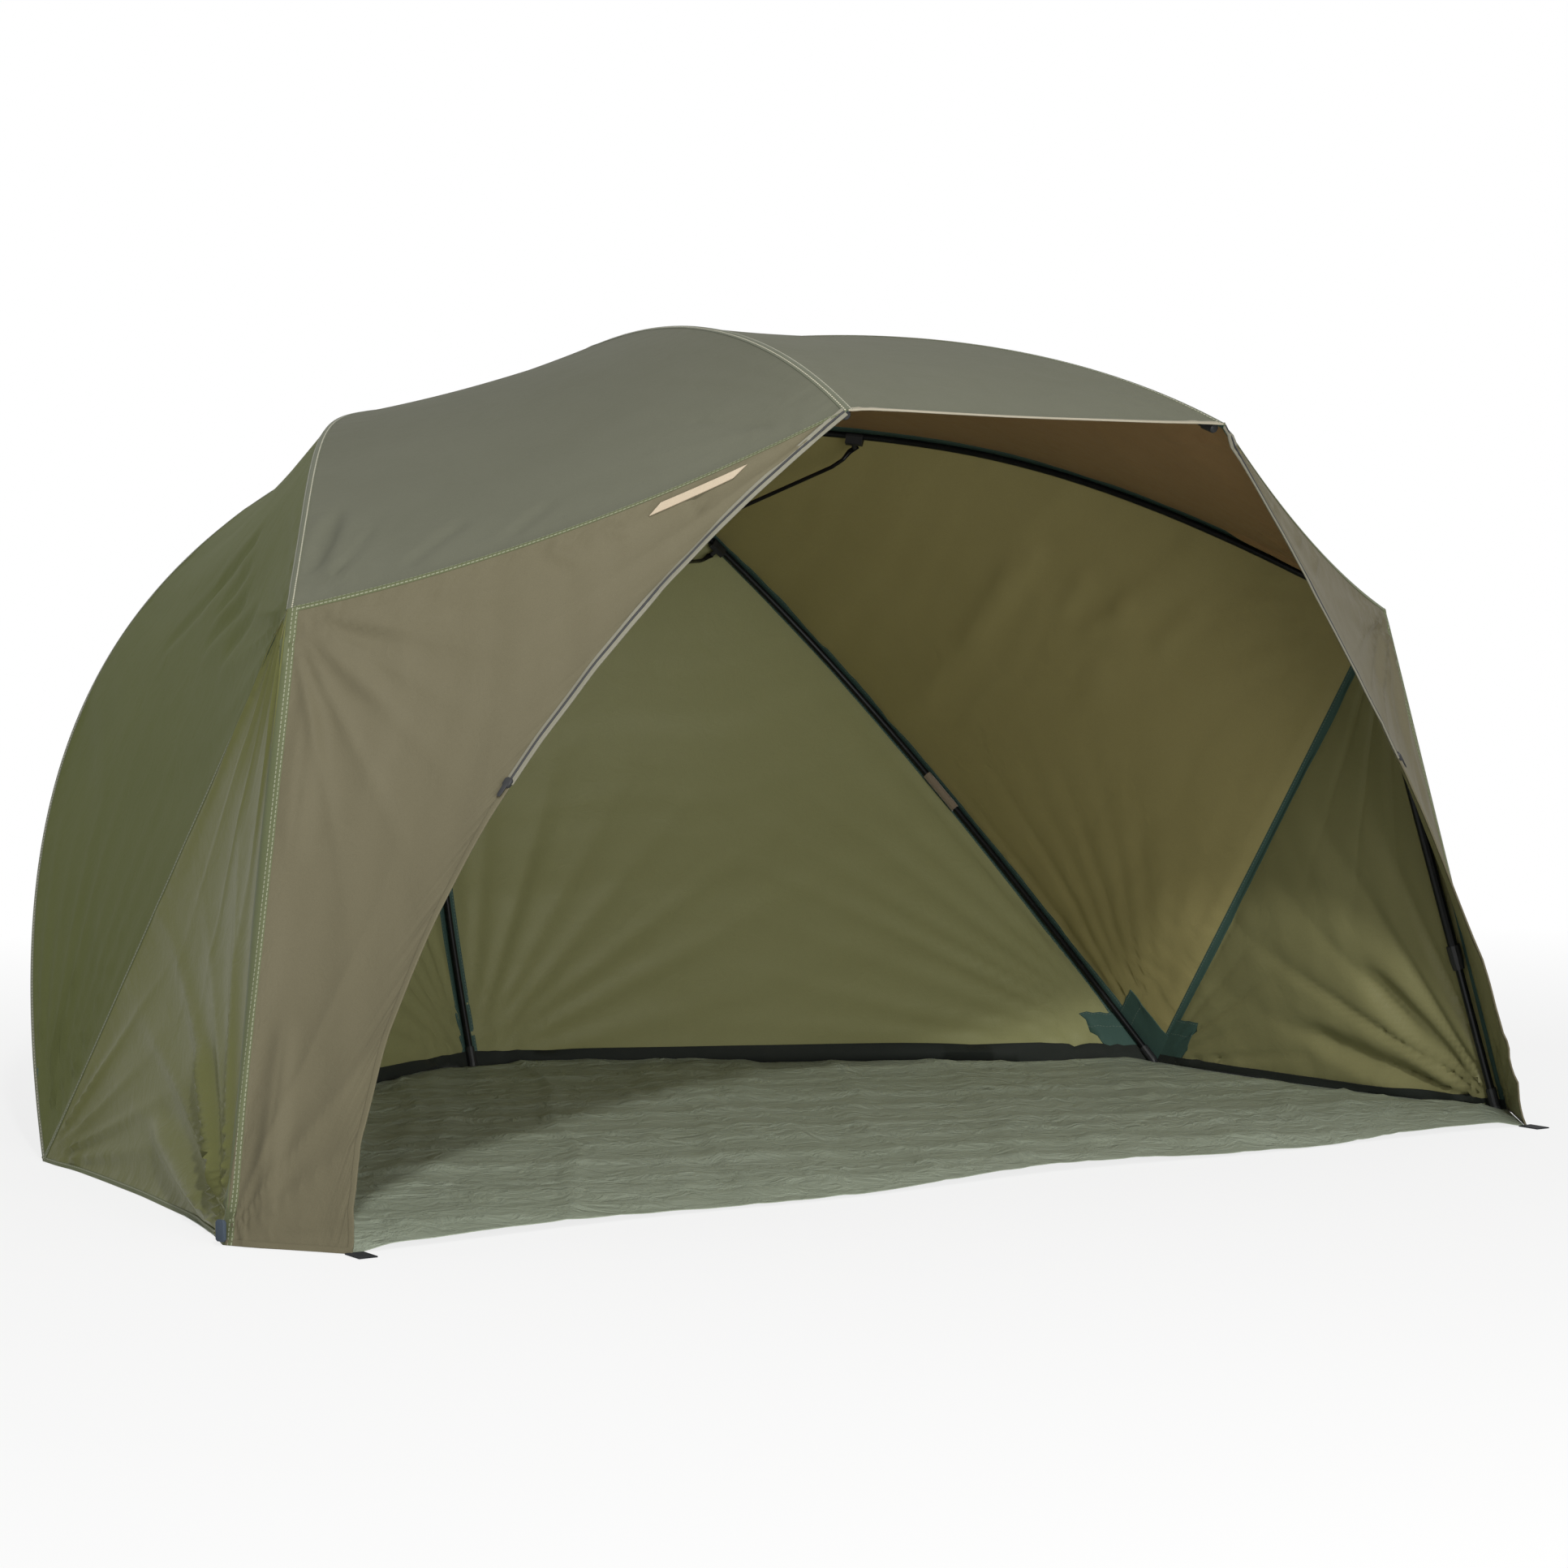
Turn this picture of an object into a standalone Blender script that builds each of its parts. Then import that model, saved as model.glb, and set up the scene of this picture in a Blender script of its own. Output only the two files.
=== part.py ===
"""Fishing umbrella shelter: a wide umbrella tilted back on the ground, with front wings and side infills.

Seven ribs fan out from a crown hub behind the roof. Two run forward to the roof's front corners, two
run to the elbows of the side legs, two to the back corners and one to the middle of the back. A runner
below the crown carries one stretcher for each rib. The covers are whole panels between the ribs.

Frame: x to the right as seen from the front, y to the back, z up. The origin is on the ground,
midway between the feet of the two front legs. Lengths are in metres.
"""
import math

import bmesh
import bpy
from mathutils import Matrix, Vector

MM = 0.001

# Crown of the umbrella, where the covers meet, and the line that the ribs fold to
CROWN_HEIGHT = 1.376
CROWN_SETBACK = 1.395
FOLD_LINE_TILT_DEG = 45.0

# Tips of the ribs: half width from the middle, setback from the front feet, height
FRONT_TIP_HALF_WIDTH = 0.376
FRONT_TIP_OVERHANG = 0.266
FRONT_TIP_HEIGHT = 1.239
ELBOW_HALF_WIDTH = 1.124
ELBOW_SETBACK = 0.147
ELBOW_HEIGHT = 0.933
BACK_CORNER_HALF_WIDTH = 1.215
BACK_CORNER_SETBACK = 0.915
BACK_MIDDLE_SETBACK = 1.64
FOOT_HALF_WIDTH = 1.306

# How each rib bows, as shares of its straight length: along, outward and sideways at either end
FRONT_CROWN_SHARES = (0.29, 0.07, 0.03)
FRONT_TIP_SHARES = (0.30, 0.11, 0.02)
SIDE_CROWN_SHARES = (0.38, 0.12, -0.12)
SIDE_TIP_SHARES = (0.55, 0.16, 0.01)
BACK_CORNER_CROWN_SHARES = (0.30, 0.41, -0.05)
BACK_CORNER_TIP_SHARES = (0.32, 0.24, -0.03)
BACK_MIDDLE_CROWN_SHARES = (0.30, 0.38, 0.0)
BACK_MIDDLE_TIP_SHARES = (0.31, 0.18, 0.0)

# Front wings: the corner that is pegged out, and the lean of the opening's edge
PEG_CORNER_HALF_WIDTH = 1.18
PEG_CORNER_OVERHANG = 0.17
EDGE_TOP_SHARES = (0.28, 0.08, 0.08)
EDGE_FOOT_SHARES = (0.27, 0.15, 0.08)
SIDE_SEAM_BOW = 0.030

# Covers
COVER_THICKNESS = 1.6 * MM
SEAM_GAP = 0.4 * MM
PANEL_STEPS = 10
CROWN_HOLE = 34.0 * MM
PANEL_SAG_SHARE = 0.018
FOLD_DEPTH = 9.0 * MM
INFILL_FOLDS = 2
WING_FOLDS = 2
GROUNDSHEET_THICKNESS = 2.0 * MM
GROUNDSHEET_INSET = 2.8 * MM

# Frame tubes and the clearances that moving and touching pieces keep
RIB_RADIUS = 6.5 * MM
STRETCHER_RADIUS = 4.0 * MM
TOUCH_GAP = 0.3 * MM
FACET_ALLOWANCE = 2.6 * MM
SLEEVE_WALL = 1.8 * MM
TUBE_SIDES = 8
SLEEVE_SIDES = 12
OVERRUN = 8.0 * MM

# Crown hub and runner: blocks with a slot and a pin for each rib or stretcher
HUB_DROP = 52.0 * MM
HUB_RADIUS = 36.0 * MM
HUB_HEIGHT = 30.0 * MM
HUB_CORE_RADIUS = 14.0 * MM
HUB_ROOF = 4.0 * MM
HUB_SIDES = 28
SLOT_WIDTH = 8.0 * MM
PIVOT_RADIUS = 26.0 * MM
PIN_RADIUS = 1.8 * MM
PIN_GAP = 0.25 * MM
RING_STRAIGHT = 1.0 * MM
TONGUE_WIDTH = 7.0 * MM
TONGUE_HEIGHT = 9.0 * MM
TONGUE_BACK = 6.0 * MM
TONGUE_REACH = 16.0 * MM
NECK_LENGTH = 8.0 * MM
RUNNER_OPEN = 0.50
RUNNER_CLOSED = 1.15
CLOSED_SPLAY_DEG = 2.6

# Cap over the crown hole
CAP_RADIUS = 44.0 * MM
CAP_DOME = 7.0 * MM
CAP_EDGE = 2.5 * MM
CAP_LIFT = 2.0 * MM
CAP_STEM_RADIUS = 6.0 * MM
CAP_LEAN_DEG = 22.8
CAP_SIDES = 24
CAP_TOP_SHARE = 0.35
CAP_SHOULDER_SHARE = 0.8

# Saddles under the ribs, with the boss and stud that each stretcher's eye turns on
SADDLE_LENGTH = 34.0 * MM
SADDLE_WALL = 2.7 * MM
SADDLE_LIP = 1.0 * MM
SADDLE_FOOT_HALF_WIDTH = 5.0 * MM
EYE_DROP = 13.0 * MM
BOSS_RADIUS = 5.0 * MM
BOSS_REACH = 15.6 * MM
STUD_RADIUS = 2.5 * MM
STUD_LENGTH = 5.0 * MM
EYE_THICKNESS = 4.0 * MM
EYE_HEIGHT = 12.0 * MM
EYE_GAP = 0.4 * MM
EYE_END = 8.0 * MM
JOG_START = 30.0 * MM
JOG_END = 12.0 * MM
JOG_SIDESTEP = 10.0 * MM
STRAIGHT_END = 60.0 * MM

# Elbows and legs
ELBOW_LENGTH = 26.0 * MM
ELBOW_END = 10.0 * MM
CHEEK_WALL = 5.0 * MM
CHEEK_ROUND = 6.0 * MM
LEG_PIVOT_DROP = 20.0 * MM
LEG_OFFSET = 24.0 * MM
LEG_TONGUE_REACH = 22.0 * MM
LEG_RADIUS = 9.5 * MM
LEG_WALL = 1.5 * MM
LEG_SLIDE_GAP = 0.5 * MM
LEG_INNER_RADIUS = LEG_RADIUS - LEG_WALL - LEG_SLIDE_GAP
LEG_INNER_LENGTH = 0.45
LEG_INNER_INSERT = 0.16
LEG_FOLD_STOP_DEG = 14.0
CLAMP_GRIP = 26.0 * MM
CLAMP_NOSE = 20.0 * MM
CLAMP_WALL = 3.0 * MM

# Feet and caps
FOOT_LENGTH = 40.0 * MM
FOOT_SOLE = 6.0 * MM
LEG_FOOT_RADIUS = 14.0 * MM
TIP_CAP_GRIP = 22.0 * MM
TIP_CAP_NOSE = 2.5 * MM
FRONT_RIB_INSET = 14.0 * MM

# Small sewn pieces
STRAP_LENGTH = 0.145
STRAP_WIDTH = 28.0 * MM
STRAP_THICKNESS = 3.0 * MM
STRAP_FROM_FRONT_SHARE = 0.155
STRAP_DROP = 30.0 * MM
STRAP_STEPS = 4
TAB_LENGTH = 0.095
TAB_PLACE_SHARE = 0.6
PEG_TAB_LENGTH = 46.0 * MM
PEG_TAB_WIDTH = 30.0 * MM

UP = Vector((0.0, 0.0, 1.0))
TILT = math.radians(FOLD_LINE_TILT_DEG)
FOLD_LINE = Vector((0.0, -math.sin(TILT), -math.cos(TILT)))
CROWN = Vector((0.0, CROWN_SETBACK, CROWN_HEIGHT))
HUB = CROWN + FOLD_LINE * HUB_DROP
FLOOR = GROUNDSHEET_THICKNESS + TOUCH_GAP
SLEEVE_BORE = (RIB_RADIUS + TOUCH_GAP) / math.cos(math.pi / SLEEVE_SIDES)
SLEEVE_RADIUS = SLEEVE_BORE + SLEEVE_WALL


def mirrored(point):
    """The same place on the other side of the middle."""
    return Vector((-point.x, point.y, point.z))


# Curves of the frame


def rib_handles(tip, crown_shares, tip_shares):
    """Four handles of the curve that a rib's seam follows from the crown to its tip."""
    chord = tip - CROWN
    along = chord.normalized()
    outward = (along * FOLD_LINE.dot(along) - FOLD_LINE).normalized()
    sideways = along.cross(outward)
    size = chord.length
    first = along * crown_shares[0] + outward * crown_shares[1] + sideways * crown_shares[2]
    second = outward * tip_shares[1] + sideways * tip_shares[2] - along * tip_shares[0]
    return (CROWN, CROWN + first * size, tip + second * size, tip)


def curve_point(handles, t):
    """Point of a four handle curve."""
    a, b, c, d = handles
    s = 1.0 - t
    return a * s**3 + b * (3.0 * s * s * t) + c * (3.0 * s * t * t) + d * t**3


def along_curve(handles, shares, samples=240):
    """Points at the given shares of the curve's length."""
    points = [curve_point(handles, k / samples) for k in range(samples + 1)]
    return along_line(points, shares)


def along_line(points, shares):
    """Points at the given shares of the length of a run of points."""
    lengths = [0.0]
    for start, end in zip(points, points[1:]):
        lengths.append(lengths[-1] + (end - start).length)
    result = []
    k = 0
    for share in shares:
        target = share * lengths[-1]
        while k < len(points) - 2 and lengths[k + 1] < target:
            k += 1
        step = lengths[k + 1] - lengths[k]
        result.append(points[k].lerp(points[k + 1], (target - lengths[k]) / step))
    return result


def curve_length(handles, samples=240):
    """Length of a four handle curve."""
    points = [curve_point(handles, k / samples) for k in range(samples + 1)]
    return sum((end - start).length for start, end in zip(points, points[1:]))


def even_shares(start, steps):
    """Evenly spaced shares from start to 1."""
    return [start + (1.0 - start) * k / steps for k in range(steps + 1)]


FRONT_TIP = Vector((FRONT_TIP_HALF_WIDTH, -FRONT_TIP_OVERHANG, FRONT_TIP_HEIGHT))
ELBOW = Vector((ELBOW_HALF_WIDTH, ELBOW_SETBACK, ELBOW_HEIGHT))
BACK_CORNER = Vector((BACK_CORNER_HALF_WIDTH, BACK_CORNER_SETBACK, 0.0))
BACK_MIDDLE = Vector((0.0, BACK_MIDDLE_SETBACK, 0.0))
FOOT = Vector((FOOT_HALF_WIDTH, 0.0, 0.0))
PEG_CORNER = Vector((PEG_CORNER_HALF_WIDTH, -PEG_CORNER_OVERHANG, 0.0))


def frame_curves():
    """Each rib's seam curve by name, from the right front round the back to the left front."""
    right = {
        "front": rib_handles(FRONT_TIP, FRONT_CROWN_SHARES, FRONT_TIP_SHARES),
        "side": rib_handles(ELBOW, SIDE_CROWN_SHARES, SIDE_TIP_SHARES),
        "back_corner": rib_handles(BACK_CORNER, BACK_CORNER_CROWN_SHARES, BACK_CORNER_TIP_SHARES),
    }
    curves = {f"{name}_right": handles for name, handles in right.items()}
    curves["back_middle"] = rib_handles(BACK_MIDDLE, BACK_MIDDLE_CROWN_SHARES, BACK_MIDDLE_TIP_SHARES)
    for name in ("back_corner", "side", "front"):
        curves[f"{name}_left"] = tuple(mirrored(point) for point in right[name])
    return curves


RIBS = frame_curves()


# Covers: panels between seams, each a closed sheet with mitred edges


class Panel:
    """A cover between four edge lines, each a list of PANEL_STEPS + 1 points."""

    def __init__(self, name, left, right, top, bottom, seams):
        """seams holds the words left, right, top and bottom for the edges that are sewn to another panel."""
        self.name = name
        self.seams = seams
        self.ribs = ()
        steps = PANEL_STEPS
        self.rows = []
        for j in range(steps + 1):
            v = j / steps
            row = []
            for i in range(steps + 1):
                u = i / steps
                sides = left[j].lerp(right[j], u)
                ends = top[i].lerp(bottom[i], v)
                corners = top[0].lerp(top[-1], u).lerp(bottom[0].lerp(bottom[-1], u), v)
                row.append(sides + ends - corners)
            self.rows.append(row)
        self.turn = 1.0
        middle = steps // 2
        away = self.rows[middle][middle] - Vector((0.0, ELBOW_SETBACK + CROWN_SETBACK / 2.0, 0.0))
        if self.normal(middle, middle).dot(away) < 0.0:
            self.turn = -1.0

    def normal(self, j, i):
        """Outward normal of the panel at one of its points."""
        last = PANEL_STEPS
        low_j = min(max(j, 1), last)
        high_j = min(max(j, 0), last - 1)
        low_i = max(i - 1, 0)
        high_i = min(i + 1, last)
        down = self.rows[high_j + 1][i] - self.rows[low_j - 1][i]
        across = self.rows[j][high_i] - self.rows[j][low_i]
        if across.length < SEAM_GAP:
            row = self.rows[1 if j == 0 else last - 1]
            across = row[high_i] - row[low_i]
        return (across.cross(down) * self.turn).normalized()

    def push(self, amount):
        """Moves the inner points along their normals by amount(u, v)."""
        moves = {}
        for j in range(1, PANEL_STEPS):
            for i in range(1, PANEL_STEPS):
                moves[j, i] = self.normal(j, i) * amount(i / PANEL_STEPS, j / PANEL_STEPS)
        for (j, i), move in moves.items():
            self.rows[j][i] = self.rows[j][i] + move


def key_of(point):
    """A dictionary key shared by the seam points of neighbouring panels."""
    return (round(point.x, 5), round(point.y, 5), round(point.z, 5))


def straight(start, end):
    """The points of a straight edge."""
    return [start.lerp(end, k / PANEL_STEPS) for k in range(PANEL_STEPS + 1)]


def bowed(start, end, bow):
    """The points of an edge that bows by a vector at its middle."""
    points = straight(start, end)
    for k, point in enumerate(points):
        share = k / PANEL_STEPS
        points[k] = point + bow * (4.0 * share * (1.0 - share))
    return points


def seam_of(rib):
    """Seam points of a rib, from the crown hole to the tip."""
    handles = RIBS[rib]
    start = CROWN_HOLE / curve_length(handles)
    return along_curve(handles, even_shares(start, PANEL_STEPS))


def wing_edge(side):
    """Points of the opening's edge, from the roof's front corner to the peg corner."""
    chord = PEG_CORNER - FRONT_TIP
    along = chord.normalized()
    outward = (Vector((1.0, 0.0, 0.0)) - along * along.x).normalized()
    back = Vector((0.0, 1.0, 0.0))
    size = chord.length
    first = along * EDGE_TOP_SHARES[0] + outward * EDGE_TOP_SHARES[1] + back * EDGE_TOP_SHARES[2]
    second = outward * EDGE_FOOT_SHARES[1] + back * EDGE_FOOT_SHARES[2] - along * EDGE_FOOT_SHARES[0]
    handles = (FRONT_TIP, FRONT_TIP + first * size, PEG_CORNER + second * size, PEG_CORNER)
    points = along_curve(handles, even_shares(0.0, PANEL_STEPS))
    return [on_side(point, side) for point in points]


def on_side(point, side):
    """The point itself on the right, or its mirror on the left."""
    return point.copy() if side == "right" else mirrored(point)


def panel_lines():
    """Every seam and edge line that the covers hang between."""
    lines = {rib: seam_of(rib) for rib in RIBS}
    for side in ("left", "right"):
        front = on_side(FRONT_TIP, side)
        elbow = on_side(ELBOW, side)
        corner = on_side(BACK_CORNER, side)
        foot = on_side(FOOT, side)
        peg = on_side(PEG_CORNER, side)
        lines[f"roof_seam_{side}"] = bowed(front, elbow, UP * -SIDE_SEAM_BOW)
        lines[f"side_seam_{side}"] = straight(elbow, corner)
        lines[f"leg_{side}"] = straight(elbow, foot)
        lines[f"opening_{side}"] = wing_edge(side)
        lines[f"wing_hem_{side}"] = straight(foot, peg)
        lines[f"infill_hem_{side}"] = straight(foot, corner)
        lines[f"back_hem_{side}"] = straight(corner, BACK_MIDDLE)
    lines["roof_hem"] = straight(on_side(FRONT_TIP, "left"), FRONT_TIP)
    return lines


def gore(name, first, second, hem, lines, sewn_hem):
    """A panel between two ribs, from the crown hole down to its hem."""
    left = lines[first]
    right = lines[second]
    seams = {"left", "right"} | ({"bottom"} if sewn_hem else set())
    panel = Panel(name, left, right, straight(left[0], right[0]), hem, seams)
    panel.ribs = (first, second)
    return panel


def sag(width):
    """Inward sag of a panel that is tight between two ribs."""
    return lambda u, v: -PANEL_SAG_SHARE * width * 4.0 * u * (1.0 - u) * math.sin(math.pi * v / 2.0)


def folds(count):
    """Outward folds that fan out from a panel's bottom left corner."""

    def amount(u, v):
        turn = math.atan2(u, 1.0 - v) / (math.pi / 2.0)
        window = 16.0 * u * (1.0 - u) * v * (1.0 - v)
        return FOLD_DEPTH * window * math.sin(math.pi * count * turn) ** 2

    return amount


def make_panels():
    """All the covers, with their bulges and folds."""
    lines = panel_lines()
    panels = [gore("roof_front_cover", "front_left", "front_right", lines["roof_hem"], lines, False)]
    panels[0].push(sag(2.0 * FRONT_TIP_HALF_WIDTH))
    for side in ("left", "right"):
        roof_hem = lines[f"roof_seam_{side}"]
        roof = gore(f"roof_side_cover_{side}", f"front_{side}", f"side_{side}", roof_hem, lines, True)
        roof.push(sag(ELBOW_HALF_WIDTH))
        wall_hem = lines[f"side_seam_{side}"]
        wall = gore(f"side_cover_{side}", f"side_{side}", f"back_corner_{side}", wall_hem, lines, True)
        wall.push(sag(BACK_CORNER_SETBACK))
        back_hem = lines[f"back_hem_{side}"]
        back = gore(f"back_cover_{side}", f"back_corner_{side}", "back_middle", back_hem, lines, False)
        back.push(sag(BACK_CORNER_HALF_WIDTH))
        elbow = on_side(ELBOW, side)
        top = list(reversed(lines[f"roof_seam_{side}"]))
        wing = Panel(f"front_wing_{side}", lines[f"leg_{side}"], lines[f"opening_{side}"], top,
                     lines[f"wing_hem_{side}"], {"left", "top"})
        wing.push(folds(WING_FOLDS))
        infill = Panel(f"side_infill_{side}", lines[f"leg_{side}"], lines[f"side_seam_{side}"],
                       [elbow] * (PANEL_STEPS + 1), lines[f"infill_hem_{side}"], {"left", "right"})
        infill.push(folds(INFILL_FOLDS))
        panels += [roof, wall, back, wing, infill]
    return panels


def shared_normals(panels):
    """Outward direction at every point, the same for all the panels that meet there."""
    totals = {}
    for panel in panels:
        for j, row in enumerate(panel.rows):
            for i, point in enumerate(row):
                key = key_of(point)
                totals[key] = totals.get(key, Vector()) + panel.normal(j, i)
    return {key: total.normalized() for key, total in totals.items()}


def edge_shift(panel, normals, j, i):
    """Step into the panel from its sewn edges, square to each seam's mitre."""
    last = PANEL_STEPS
    here = panel.rows[j][i]
    outward = normals[key_of(here)]
    middle = panel.rows[last // 2][last // 2]
    shift = Vector()
    for edge, on_edge, ahead, behind in (
        ("left", i == 0, (min(j + 1, last), 0), (max(j - 1, 0), 0)),
        ("right", i == last, (min(j + 1, last), last), (max(j - 1, 0), last)),
        ("top", j == 0, (0, min(i + 1, last)), (0, max(i - 1, 0))),
        ("bottom", j == last, (last, min(i + 1, last)), (last, max(i - 1, 0))),
    ):
        if edge not in panel.seams or not on_edge:
            continue
        along = panel.rows[ahead[0]][ahead[1]] - panel.rows[behind[0]][behind[1]]
        into = along.cross(outward).normalized()
        if into.dot(middle - here) < 0.0:
            into.negate()
        shift += into * SEAM_GAP
    return shift


def sheet_skins(panel, normals):
    """Outer and inner points of a panel's cloth, as rows."""
    outer = []
    inner = []
    last = PANEL_STEPS
    for j, row in enumerate(panel.rows):
        outer.append([])
        inner.append([])
        for i, point in enumerate(row):
            if j == 0 and (row[last] - row[0]).length < SEAM_GAP:
                shift = edge_shift(panel, normals, 0, 0) + edge_shift(panel, normals, 0, last)
            else:
                shift = edge_shift(panel, normals, j, i)
            outside = point + shift
            inside = outside - normals[key_of(point)] * COVER_THICKNESS
            outside.z = max(outside.z, 0.0)
            inside.z = max(inside.z, 0.0)
            if j == last and point.z < SEAM_GAP:
                outside.z = 0.0
                inside.z = 0.0
            outer[-1].append(outside)
            inner[-1].append(inside)
    return outer, inner


# Meshes and materials


def finish(name, colour, roughness, metallic):
    """A plain material for one piece."""
    material = bpy.data.materials.new(name)
    material.use_nodes = True
    shader = material.node_tree.nodes["Principled BSDF"]
    shader.inputs["Base Color"].default_value = (*colour, 1.0)
    shader.inputs["Roughness"].default_value = roughness
    shader.inputs["Metallic"].default_value = metallic
    return material


ROOF_CLOTH = ((0.145, 0.152, 0.108), 0.75, 0.0)
WALL_CLOTH = ((0.110, 0.122, 0.066), 0.72, 0.0)
WING_CLOTH = ((0.235, 0.205, 0.142), 0.75, 0.0)
FLOOR_CLOTH = ((0.150, 0.165, 0.122), 0.60, 0.0)
BEIGE_TAPE = ((0.410, 0.350, 0.260), 0.85, 0.0)
BLACK_TUBE = ((0.015, 0.017, 0.018), 0.35, 0.6)
BLACK_PLASTIC = ((0.012, 0.013, 0.014), 0.50, 0.0)
BARE_STEEL = ((0.450, 0.450, 0.450), 0.30, 1.0)
BLUE_WEBBING = ((0.060, 0.080, 0.105), 0.70, 0.0)


def add_object(name, points, faces, look, smooth=True):
    """A mesh object with its own material, with its faces turned outward."""
    mesh = bpy.data.meshes.new(name)
    shell = bmesh.new()
    corners = [shell.verts.new(point) for point in points]
    for face in faces:
        shell.faces.new([corners[k] for k in face])
    bmesh.ops.remove_doubles(shell, verts=shell.verts, dist=TOUCH_GAP / 10.0)
    bmesh.ops.recalc_face_normals(shell, faces=shell.faces)
    if shell.calc_volume(signed=True) < 0.0:
        bmesh.ops.reverse_faces(shell, faces=shell.faces)
    shell.to_mesh(mesh)
    shell.free()
    if smooth:
        mesh.shade_smooth()
        mesh.set_sharp_from_angle(angle=math.radians(40.0))
    piece = bpy.data.objects.new(name, mesh)
    piece.data.materials.append(finish(name, *look))
    bpy.context.scene.collection.objects.link(piece)
    return piece


def add_sheet(panel, normals, look):
    """The closed solid of a cover."""
    outer, inner = sheet_skins(panel, normals)
    count = PANEL_STEPS + 1
    points = [point for row in outer for point in row] + [point for row in inner for point in row]
    base = count * count
    faces = []
    for j in range(PANEL_STEPS):
        for i in range(PANEL_STEPS):
            k = j * count + i
            faces.append((k, k + 1, k + count + 1, k + count))
            faces.append((base + k, base + k + count, base + k + count + 1, base + k + 1))
    rim = [i for i in range(count)]
    rim += [j * count + PANEL_STEPS for j in range(1, count)]
    rim += [PANEL_STEPS * count + i for i in range(PANEL_STEPS - 1, -1, -1)]
    rim += [j * count for j in range(PANEL_STEPS - 1, 0, -1)]
    for k, here in enumerate(rim):
        after = rim[(k + 1) % len(rim)]
        faces.append((here, base + here, base + after, after))
    return add_object(panel.name, points, faces, look, smooth=False)


def round_outline(half_width, half_height, sides=TUBE_SIDES):
    """Outline of a round or oval tube as (x, y) pairs."""
    angles = [2.0 * math.pi * (k + 0.5) / sides for k in range(sides)]
    return [(half_width * math.cos(angle), half_height * math.sin(angle)) for angle in angles]


def placed(outline, centre, x_axis, y_axis):
    """An outline set in space."""
    return [centre + x_axis * x + y_axis * y for x, y in outline]


def lofted(rings, loop=False):
    """Skin through rings with equal counts, closed by end faces or by joining the last ring to the first."""
    sides = len(rings[0])
    points = [point for ring in rings for point in ring]
    faces = []
    if not loop:
        faces = [tuple(range(sides)), tuple(range(len(points) - sides, len(points)))]
    for row in range(len(rings) if loop else len(rings) - 1):
        start = row * sides
        after = (row + 1) % len(rings) * sides
        for k in range(sides):
            m = (k + 1) % sides
            faces.append((start + k, start + m, after + m, after + k))
    return points, faces


def swept(centres, y_axis, outlines):
    """Skin of an outline, or of one for each centre, along centres.

    The outline's x axis is the tangent crossed with its y axis.
    """
    if not isinstance(outlines[0], list):
        outlines = [outlines] * len(centres)
    rings = []
    for k, centre in enumerate(centres):
        ahead = centres[min(k + 1, len(centres) - 1)]
        behind = centres[max(k - 1, 0)]
        tangent = (ahead - behind).normalized()
        upright = (y_axis - tangent * tangent.dot(y_axis)).normalized()
        rings.append(placed(outlines[k], centre, tangent.cross(upright), upright))
    return lofted(rings)


def turned(origin, axis, profile, sides=SLEEVE_SIDES, loop=False):
    """Skin of a turned piece, from (distance, radius) pairs along its axis."""
    across = axis.orthogonal().normalized()
    upright = axis.cross(across)
    rings = [placed(round_outline(radius, radius, sides), origin + axis * distance, across, upright)
             for distance, radius in profile]
    return lofted(rings, loop)


def joined(skins):
    """Several skins as one list of points and faces."""
    points = []
    faces = []
    for skin_points, skin_faces in skins:
        base = len(points)
        points += skin_points
        faces += [tuple(base + k for k in face) for face in skin_faces]
    return points, faces


def cutter_object(name, skins):
    """A hidden object that others are cut by or joined with."""
    cutter = add_object(name, *joined(skins), BLACK_PLASTIC, smooth=False)
    cutter.hide_render = True
    cutter.display_type = "WIRE"
    return cutter


def combine(piece, other, operation):
    """Cuts a piece by a hidden object or joins the two."""
    modifier = piece.modifiers.new(operation.lower(), "BOOLEAN")
    modifier.operation = operation
    modifier.solver = "EXACT"
    modifier.object = other


# Lines of the frame, worked out before any solid is made


def moved_about(point, pivot, axis, angle):
    """The point turned about a pivot."""
    return pivot + Matrix.Rotation(angle, 3, axis) @ (point - pivot)


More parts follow.
